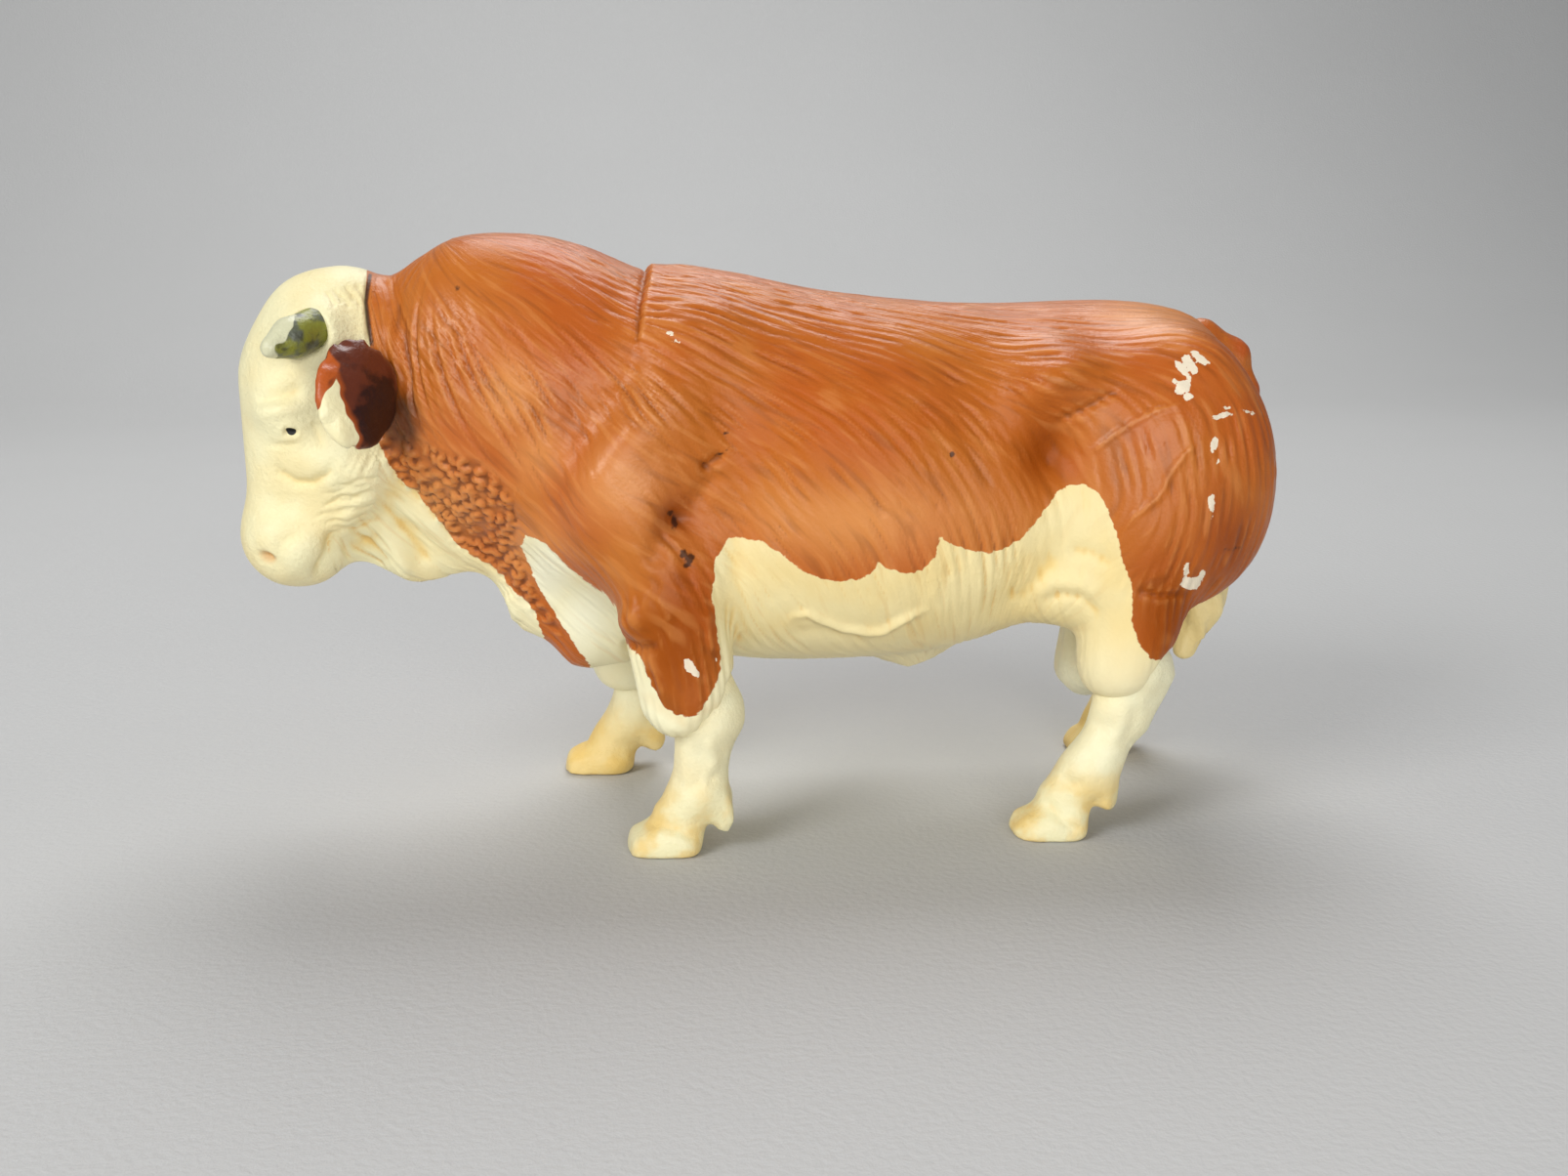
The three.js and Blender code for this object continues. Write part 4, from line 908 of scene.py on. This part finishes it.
class Paint:
    """Builds one procedural material node by node."""

    def __init__(self, name):
        self.material = bpy.data.materials.new(name)
        self.material.use_nodes = True
        self.tree = self.material.node_tree
        self.shader = self.tree.nodes["Principled BSDF"]
        self.spot = self.node("TexCoord").outputs["Object"]

    def node(self, kind, *values, **settings):
        """A node with some settings, and with values fed to its first sockets."""
        made = self.tree.nodes.new("ShaderNode" + kind)
        for word, setting in settings.items():
            setattr(made, word, setting)
        for socket, value in zip(made.inputs, values):
            self.feed(socket, value)
        return made

    def feed(self, socket, value):
        """Sets a socket to a number or colour, an output, or the piece's own value of a name."""
        if isinstance(value, str):
            value = self.node("Attribute", attribute_name=value).outputs["Fac"]
        if isinstance(value, bpy.types.NodeSocket):
            self.tree.links.new(value, socket)
        else:
            socket.default_value = value

    def feed_all(self, node, values):
        for word, value in values.items():
            self.feed(node.inputs[word], value)
        return node

    def sum(self, a, b):
        return self.node("Math", a, b, operation="ADD").outputs[0]

    def times(self, a, b):
        return self.node("Math", a, b, operation="MULTIPLY").outputs[0]

    def ramp(self, value, low, high, start=0.0, end=1.0):
        """Goes from start to end as a value goes from low to high."""
        made = self.node("MapRange", value, low, high, start, end, interpolation_type="SMOOTHSTEP")
        return made.outputs[0]

    def place(self):
        """The outputs x, y and z of the place on the object."""
        return self.node("SeparateXYZ", self.spot).outputs

    def noise(self, size, detail=3.0, rough=0.5):
        """Noise whose lumps are about a size in millimetres."""
        settings = {"Vector": self.spot, "Scale": 1 / (size * MM), "Detail": detail, "Roughness": rough}
        return self.feed_all(self.node("TexNoise"), settings).outputs["Fac"]

    def grain(self):
        return self.noise(0.5, 3.0, 0.6)

    def worn(self, roughness):
        """A roughness that wavers from place to place."""
        return self.sum(self.ramp(self.noise(5.0), 0.3, 0.7, -0.06, 0.06), roughness)

    def hair(self, width, length):
        """Noise drawn out along the lie of the hair."""
        x, y, z = self.place()
        along = 1 / (length * MM)
        scaled = [self.times("across", 1 / width), self.times(x, along), self.times(z, along)]
        way = self.node("CombineXYZ", *scaled).outputs[0]
        settings = {"Vector": way, "Scale": 1.0, "Detail": 1.5}
        return self.feed_all(self.node("TexNoise"), settings).outputs["Fac"]

    def mix(self, share, a, b):
        made = self.node("Mix", share, data_type="RGBA")
        self.feed(made.inputs[6], a)
        self.feed(made.inputs[7], b)
        return made.outputs[2]

    def turn(self, colour, other, value, low, high, most=1.0, least=0.0):
        """A colour that turns into another one as a value goes from low to high."""
        return self.mix(self.ramp(value, low, high, least, most), colour, other)

    def done(self, colour, roughness, bumps, coat=0.0, depth=0.25):
        """Finishes the material with its gloss and with bumps of a depth in millimetres."""
        bump = self.feed_all(self.node("Bump"), {"Strength": 0.6, "Distance": depth * MM, "Height": bumps})
        self.feed_all(self.shader, {
            "Base Color": colour,
            "Roughness": roughness,
            "Coat Weight": coat,
            "Coat Roughness": 0.35,
            "Specular IOR Level": 0.35,
            "Normal": bump.outputs["Normal"],
        })
        return self.material


CREAM = linear(246, 238, 192)
# A whiter cream, painted light on the strip, low on the belly and up the legs
CREAM_LIT = linear(254, 251, 220)
# A yellower cream, for random tone and for painted shade in broad hollows
CREAM_SHADE = linear(240, 202, 112)
# A darker cream, painted shade in narrow hollows and along hair grooves
CREAM_HOLLOW_SHADE = linear(222, 176, 100)
BROWN = linear(190, 105, 32)
BROWN_RED = linear(186, 87, 26)
BROWN_TAN = linear(202, 124, 50)
# A dark brown, painted shade in hollows, hair grooves and between the curls
BROWN_SHADOW = linear(96, 42, 10)
# A deeper brown, painted shade on shaded parts of the coat
BROWN_SHADE = linear(146, 66, 4)
# A pale brown, painted highlights on ridges, on the hair and on lit parts
BROWN_HIGHLIGHT = linear(228, 153, 84)
SHEEN = (1.0, 0.86, 0.72, 1.0)
BARE = linear(240, 226, 200)
# Near black for dark specks and seam lines, and for the ear's painted shadow on the neck
SHADOW_AND_MARK_DARK = linear(38, 20, 16)
BLACK = linear(14, 13, 14)
TAN = linear(206, 158, 100)
EAR_BROWN = linear(104, 46, 24)
EAR_DARK = linear(44, 14, 8)
HORN_OLIVE = linear(138, 140, 52)
HORN_GREY = linear(96, 100, 84)
HORN_DARK = linear(58, 56, 34)
HORN_TIP_CREAM = linear(214, 212, 176)
PEACH = linear(255, 252, 222)
PEACH_DARK = linear(255, 244, 208)


def cream_colour(paint, warm=0.0):
    """Cream plastic with a random tone, and painted shade in its broad and narrow hollows."""
    colour = paint.turn(CREAM, CREAM_SHADE, paint.noise(9.0), 0.35, 0.7, 0.3)
    colour = paint.mix(warm, colour, CREAM_SHADE)
    # Painted shade in broad and in narrow hollows
    colour = paint.turn(colour, CREAM_SHADE, "valley", 0.05, 0.55, 0.8)
    return paint.turn(colour, CREAM_HOLLOW_SHADE, "hollow", 0.03, 0.16, 0.35)


def trunk_cream(paint, hair):
    """The cream of the belly, warmer towards the tail, whiter on the strip and low down as painted light,
    and darker along the hair grooves as painted shade.
    """
    x, y, z = paint.place()
    cream = cream_colour(paint, paint.ramp(x, -20 * MM, 5 * MM, 0.0, 0.35))
    # The strip whitened as painted light
    cream = paint.mix("strip", cream, CREAM_LIT)
    # Whiter low down as painted light
    cream = paint.turn(cream, CREAM_LIT, z, 32 * MM, 20 * MM, 0.4)
    # Painted shade along the hair grooves
    hair_groove_shade = paint.times(paint.ramp(hair, 0.42, 0.3, 0.0, 0.2), "hairy")
    return paint.mix(hair_groove_shade, cream, CREAM_HOLLOW_SHADE)


def trunk_brown(paint, hair):
    """The chestnut coat with a random tone, with painted shade in its hollows, hair grooves, shaded parts
    and between the curls, painted highlights on its ridges, hair and lit parts, and the ear's painted
    shadow.
    """
    brown = paint.turn(BROWN, BROWN_RED, paint.noise(18.0, 2.0), 0.38, 0.66, 0.75, 0.1)
    brown = paint.turn(brown, BROWN_TAN, paint.noise(11.0), 0.45, 0.75, 0.45)
    # Painted highlights on lit parts
    brown = paint.mix(paint.times("pale", 0.65), brown, BROWN_HIGHLIGHT)
    # Painted shade on shaded parts
    brown = paint.mix(paint.times("deep", 0.85), brown, BROWN_SHADE)
    # Painted shade in the hair grooves and painted highlights on the ridges of the hair
    brown = paint.turn(brown, BROWN_SHADOW, hair, 0.46, 0.28, 0.26)
    brown = paint.turn(brown, BROWN_HIGHLIGHT, hair, 0.55, 0.68, 0.24)
    # Painted shade in narrow hollows and between the curls
    brown = paint.turn(brown, BROWN_SHADOW, "hollow", 0.03, 0.2, 0.4)
    between = paint.times(paint.ramp("hollow", 0.0, 0.16, 0.0, 0.55), "curl")
    brown = paint.mix(between, brown, BROWN_SHADOW)
    # Painted highlights on ridges
    brown = paint.turn(brown, BROWN_HIGHLIGHT, "hollow", -0.02, -0.14, 0.28)
    # Painted shade in broad hollows
    brown = paint.turn(brown, BROWN_SHADOW, "valley", 0.3, 1.3, 0.4)
    # The ear's painted shadow on the neck
    brown = paint.turn(brown, SHADOW_AND_MARK_DARK, "shade", -0.6, 2.2, 0.75)
    return paint.turn(brown, SHADOW_AND_MARK_DARK, "seam", 0.5, 0.15, 0.8)


def trunk_paint(name):
    """Chestnut over cream, with worn spots and dark specks, and a coat of fine hair."""
    paint = Paint(name)
    hair = paint.hair(0.34, 8.0)
    tuft = paint.hair(0.9, 18.0)
    edge = paint.sum("chestnut", paint.ramp(paint.noise(0.9, 2.0), 0.3, 0.7, -0.12, 0.12))
    share = paint.ramp(edge, -0.08, 0.08)
    colour = paint.mix(share, trunk_cream(paint, hair), trunk_brown(paint, hair))
    frayed = paint.ramp(paint.noise(0.6, 2.0), 0.3, 0.7, -0.1, 0.1)
    colour = paint.turn(colour, BARE, paint.sum("chip", frayed), -0.03, 0.03)
    colour = paint.turn(colour, SHADOW_AND_MARK_DARK, paint.sum("dark", frayed), -0.1, 0.2, 0.85)
    roughness = paint.worn(paint.ramp(share, 0.0, 1.0, 0.5, 0.37))
    strands = paint.times(paint.sum(hair, paint.times(tuft, 0.8)), "hairy")
    bumps = paint.sum(paint.times(paint.grain(), 0.25), strands)
    paint.done(colour, roughness, bumps, 0.12, 0.4)
    shine = paint.ramp("matt", -1.0, 1.0, 0.6, 0.08)
    paint.feed_all(paint.shader, {"Specular Tint": SHEEN, "Specular IOR Level": shine})
    return paint.material


# The picture's set: floor, light and camera, in metres

FLOOR_WIDE = 2.5
FLOOR_FRONT = -2.0
FLOOR_BACK = 0.45
FLOOR_BEND = 0.35
FLOOR_TOP = 1.6
FLOOR_DROP = 0.00005
FLOOR_GREY = linear(195, 195, 194)
FLOOR_GREY_DARK = linear(194, 194, 193)
SKY_COLOUR = (0.93, 0.96, 1.0, 1.0)
SKY_STRENGTH = 0.2
AIM = Vector((0, 0, 0.04))
# Each lamp's name, place, width and power in watts
LAMPS = [
    ("key", (-0.6, -0.5, 0.52), 0.4, 4.1),
    ("top", (0.05, 0.42, 0.7), 0.5, 4.0),
    ("fill", (0.05, -0.8, 0.12), 0.6, 4.6),
]


def backdrop():
    """A sheet of pale paper that bends up behind the bull."""
    profile = [(FLOOR_FRONT, 0)]
    for turn in np.linspace(0, math.pi / 2, 13):
        profile.append((FLOOR_BACK + FLOOR_BEND * math.sin(turn), FLOOR_BEND * (1 - math.cos(turn))))
    profile.append((FLOOR_BACK + FLOOR_BEND, FLOOR_TOP))
    points = [(x, y, z) for y, z in profile for x in (-FLOOR_WIDE, FLOOR_WIDE)]
    strips = [(2 * i, 2 * i + 1, 2 * i + 3, 2 * i + 2) for i in range(len(profile) - 1)]
    mesh = bpy.data.meshes.new("floor")
    mesh.from_pydata(points, [], strips)
    mesh.shade_smooth()
    paper = Paint("floor_paper")
    shade = paper.turn(FLOOR_GREY, FLOOR_GREY_DARK, paper.noise(60.0), 0.3, 0.7)
    mesh.materials.append(paper.done(shade, 0.8, paper.noise(1.0)))
    floor = add("floor", mesh)
    floor.location.z = -FLOOR_DROP


def lights():
    world = bpy.data.worlds.new("studio")
    world.use_nodes = True
    sky = world.node_tree.nodes["Background"]
    sky.inputs["Color"].default_value = SKY_COLOUR
    sky.inputs["Strength"].default_value = SKY_STRENGTH
    bpy.context.scene.world = world
    for name, place, wide, power in LAMPS:
        lamp = bpy.data.lights.new(name, "AREA")
        lamp.size = wide
        lamp.energy = power
        made = add(name, lamp)
        made.location = place
        made.rotation_euler = (Vector(place) - AIM).to_track_quat("Z", "Y").to_euler()


def camera():
    lens = bpy.data.cameras.new("camera")
    lens.sensor_width = SENSOR
    lens.lens = SENSOR * FOCAL / PICTURE_WIDTH
    made = add("camera", lens)
    made.location = Vector(CAMERA) * MM
    made.rotation_euler = (math.pi / 2 - PITCH, 0, -YAW)
    bpy.context.scene.camera = made
    bpy.context.scene.view_settings.view_transform = "Standard"


# The head


def head_looks(skin):
    places, ahead = seen(skin)
    skin.push(sculpted(places, ahead, ALL_FOLDS, ALL_SWELLINGS))
    outward = ease(ahead, 0.05, 0.3) * 5 - 5
    return {
        "eye": spots(EYE, places, outward),
        "nostril": spots(NOSTRIL, places, outward),
        "chestnut": inside(HEAD_BROWN, places),
        "seam": to_line(HEAD_SEAM, places)[0] / PIXELS_PER_MM,
    }


def head_paint():
    paint = Paint("head_cream")
    colour = paint.turn(cream_colour(paint), BROWN, "chestnut", -0.08, 0.08)
    colour = paint.turn(colour, SHADOW_AND_MARK_DARK, "seam", 0.4, 0.12, 0.85)
    colour = paint.turn(colour, TAN, "nostril", -0.3, 0.4, 0.75)
    colour = paint.turn(colour, BLACK, "eye", -0.03, 0.03)
    uneven = paint.sum(paint.grain(), paint.times(paint.noise(3.0, 2.0), 1.6))
    return paint.done(colour, paint.worn(0.5), uneven, 0.1, 0.3)


# Legs

LEG_FOLDS = [
    ([(655, 846), (672, 842), (690, 848), (706, 856), (726, 858)], 0.7, -0.35),
    ([(688, 800), (704, 808), (722, 802)], 0.9, -0.25),
    ([(724, 752), (732, 778), (727, 800)], 0.8, 0.3),
    ([(714, 760), (718, 790), (712, 812)], 0.8, -0.2),
    ([(1066, 814), (1078, 828), (1094, 846), (1112, 854)], 0.7, -0.4),
    ([(1083, 793), (1099, 804), (1114, 800)], 0.8, -0.35),
    ([(1166, 716), (1160, 745), (1148, 774)], 1.0, -0.3),
    ([(1116, 738), (1130, 746), (1146, 742)], 1.0, -0.2),
]
LEG_SWELLINGS = [
    (731, 796, 7, 9, 0, -0.35), (700, 780, 12, 18, 0, 0.2), (690, 832, 16, 12, 20, 0.2),
    (1108, 830, 10, 10, 0, 0.2), (1128, 726, 14, 10, 0, 0.3),
]
# The right hooves are more yellow, and the stain of all hooves fades out between these heights
FAR_WARMTH = 0.6
STAIN_HEIGHTS = (14, 2)


def leg_looks(skin):
    places, ahead = seen(skin)
    skin.push(sculpted(places, ahead, LEG_FOLDS, LEG_SWELLINGS))
    skin.points[:, 2] = np.maximum(skin.points[:, 2], 0)
    return {"low": ease(skin.points[:, 2], *STAIN_HEIGHTS)}


def leg_paint(name, warm):
    paint = Paint(name)
    # Whitened as painted light above the hooves, less towards the ground
    colour = paint.turn(cream_colour(paint), CREAM_LIT, "low", 0.0, 0.8, 0.0, 0.4)
    patch = paint.times(paint.ramp(paint.noise(5.0), 0.38, 0.62), paint.ramp("low", 0.0, 1.0, 0.1, 0.75))
    colour = paint.mix(patch, colour, CREAM_SHADE)
    colour = paint.turn(colour, CREAM_SHADE, "low", 0.0, 1.0, warm)
    return paint.done(colour, paint.worn(0.5), paint.grain(), 0.1)


# Ears and horns

EAR_INSIDE = [
    (345, 384), (349, 400), (352, 418), (362, 434), (366, 446), (364, 458), (338, 466), (310, 460),
    (310, 432), (323, 424), (334, 402),
]
EAR_RIM = [(312, 366), (335, 358), (347, 372), (345, 384), (334, 402), (323, 424), (310, 432)]
# The lower right of the ear, darkened as painted shade
EAR_SHADED = [(390, 428, 32, 40)]
HORN_TIP = [(250, 300), (303, 312), (300, 335), (292, 349), (283, 354), (280, 380), (250, 380)]


def ear_looks(skin):
    places, ahead = seen(skin)
    skin.push(wavering(skin.points, 3.5) * 0.14)
    front = ease(ahead, -0.1, 0.1) * 4 - 4
    ragged = wavering(skin.points, 1.5) * 0.2
    return {
        "inside": inside(EAR_INSIDE, places) + front + ragged,
        "rim": inside(EAR_RIM, places) + front + ragged,
        "deep": patches(EAR_SHADED, places),
    }


def ear_paint(name):
    paint = Paint(name)
    blotch = paint.ramp(paint.noise(2.2), 0.35, 0.65, -0.25, 0.25)
    # Darker to the lower right as painted shade, with random blotches
    colour = paint.turn(EAR_BROWN, EAR_DARK, paint.sum("deep", blotch), 0.05, 0.7)
    colour = paint.turn(colour, BROWN_RED, "rim", -0.3, 0.3)
    colour = paint.turn(colour, BROWN_RED, "inside", -0.9, -0.1, 0.7)
    colour = paint.turn(colour, cream_colour(paint), "inside", -0.05, 0.1)
    return paint.done(colour, 0.36, paint.noise(0.8, 3.0, 0.6), 0.3)


def horn_looks(skin):
    places = in_picture(on_left(skin.points))
    return {"tip": inside(HORN_TIP, places) + wavering(skin.points, 1.2) * 0.25}


def horn_paint(name):
    paint = Paint(name)
    colour = paint.turn(HORN_OLIVE, HORN_GREY, paint.noise(2.2), 0.4, 0.6)
    colour = paint.turn(colour, HORN_DARK, paint.noise(1.2), 0.55, 0.7, 0.6)
    colour = paint.turn(colour, HORN_TIP_CREAM, "tip", -0.12, 0.12)
    return paint.done(colour, 0.34, paint.noise(0.6, 3.0, 0.6), 0.3)


# Tail and scrotum

SWITCH_TOP = 38.0
SWITCH_X = 64.0
SWITCH_LOCKS = 5
SWITCH_RELIEF = 0.25
CLEFT_DEPTH = 0.5
CLEFT_WIDTH = 0.8
CLEFT_HEIGHTS = (27, 21)


def tail_looks(skin):
    x, y, z = skin.points.T
    low = ease(z, SWITCH_TOP + 8, SWITCH_TOP - 6)
    around = np.arctan2(y, x - SWITCH_X)
    skin.push(low * SWITCH_RELIEF * np.sin(around * SWITCH_LOCKS + z * 0.5))
    return {"switch": SWITCH_TOP - skin.points[:, 2] + wavering(skin.points, 2) * 0.6}


def tail_paint():
    paint = Paint("tail_coat")
    brown = paint.turn(BROWN, BROWN_RED, paint.noise(6.0), 0.4, 0.62)
    # Painted shade in the hollows
    brown = paint.turn(brown, BROWN_SHADOW, "hollow", 0.01, 0.1, 0.7)
    cream = paint.mix(0.5, cream_colour(paint), CREAM_SHADE)
    colour = paint.turn(brown, cream, "switch", -0.15, 0.15)
    return paint.done(colour, 0.42, paint.grain(), 0.15)


def scrotum_looks(skin):
    x, y, z = skin.points.T
    skin.push(-CLEFT_DEPTH * np.exp(-((y / CLEFT_WIDTH) ** 2)) * ease(z, *CLEFT_HEIGHTS))
    return {}


def scrotum_paint():
    paint = Paint("scrotum_skin")
    colour = paint.turn(PEACH, PEACH_DARK, paint.noise(6.0), 0.3, 0.7)
    # Painted shade in the cleft and hollows
    colour = paint.turn(colour, CREAM_HOLLOW_SHADE, "hollow", 0.02, 0.1, 0.5)
    return paint.done(colour, 0.5, paint.grain(), 0.1)


# Building the bull


def trunk_pieces():
    """Body, neck and head, parted from one skin so that their surfaces run on across the seams."""
    trunk = trunk_skin()
    owner = owners(trunk, ("body", "neck", "head"))
    in_front = trunk.points[trunk.quads][:, :, 0].max(1) < HEAD_END
    head, face_of = finer(trunk, in_front)
    head.smooth(HEAD_SMOOTHING, TRUNK_VOXEL / 2)
    values = with_hollows(trunk, trunk_looks(trunk))
    for i, name in enumerate(("body", "neck")):
        faces = trunk.quads[owner == i]
        half_piece(name, trunk, faces, values, trunk_paint(name + "_coat"))
    values = with_hollows(head, head_looks(head))
    half_piece("head", head, head.quads[owner[face_of] == 2], values, head_paint())


def whole_piece(name, looks, material, voxel=SMALL_VOXEL, distance=SMALL_SMOOTHING):
    """A piece with a skin of its own."""
    skin = wrapped([triangles_of(name)], voxel)
    skin.smooth(distance, voxel)
    values = with_hollows(skin, looks(skin))
    piece(name, skin.points, skin.quads.tolist(), values, material)


trunk_pieces()
for leg in ("left_foreleg", "right_foreleg", "left_hind_leg", "right_hind_leg"):
    warm = FAR_WARMTH if leg.startswith("right") else 0.0
    cream = leg_paint(leg + "_cream", warm)
    whole_piece(leg, leg_looks, cream, LEG_VOXEL, LEG_SMOOTHING)
for side in ("left", "right"):
    whole_piece(side + "_horn", horn_looks, horn_paint(side + "_horn_coat"))
    whole_piece(side + "_ear", ear_looks, ear_paint(side + "_ear_coat"))
whole_piece("tail", tail_looks, tail_paint())
whole_piece("scrotum", scrotum_looks, scrotum_paint())
backdrop()
lights()
camera()
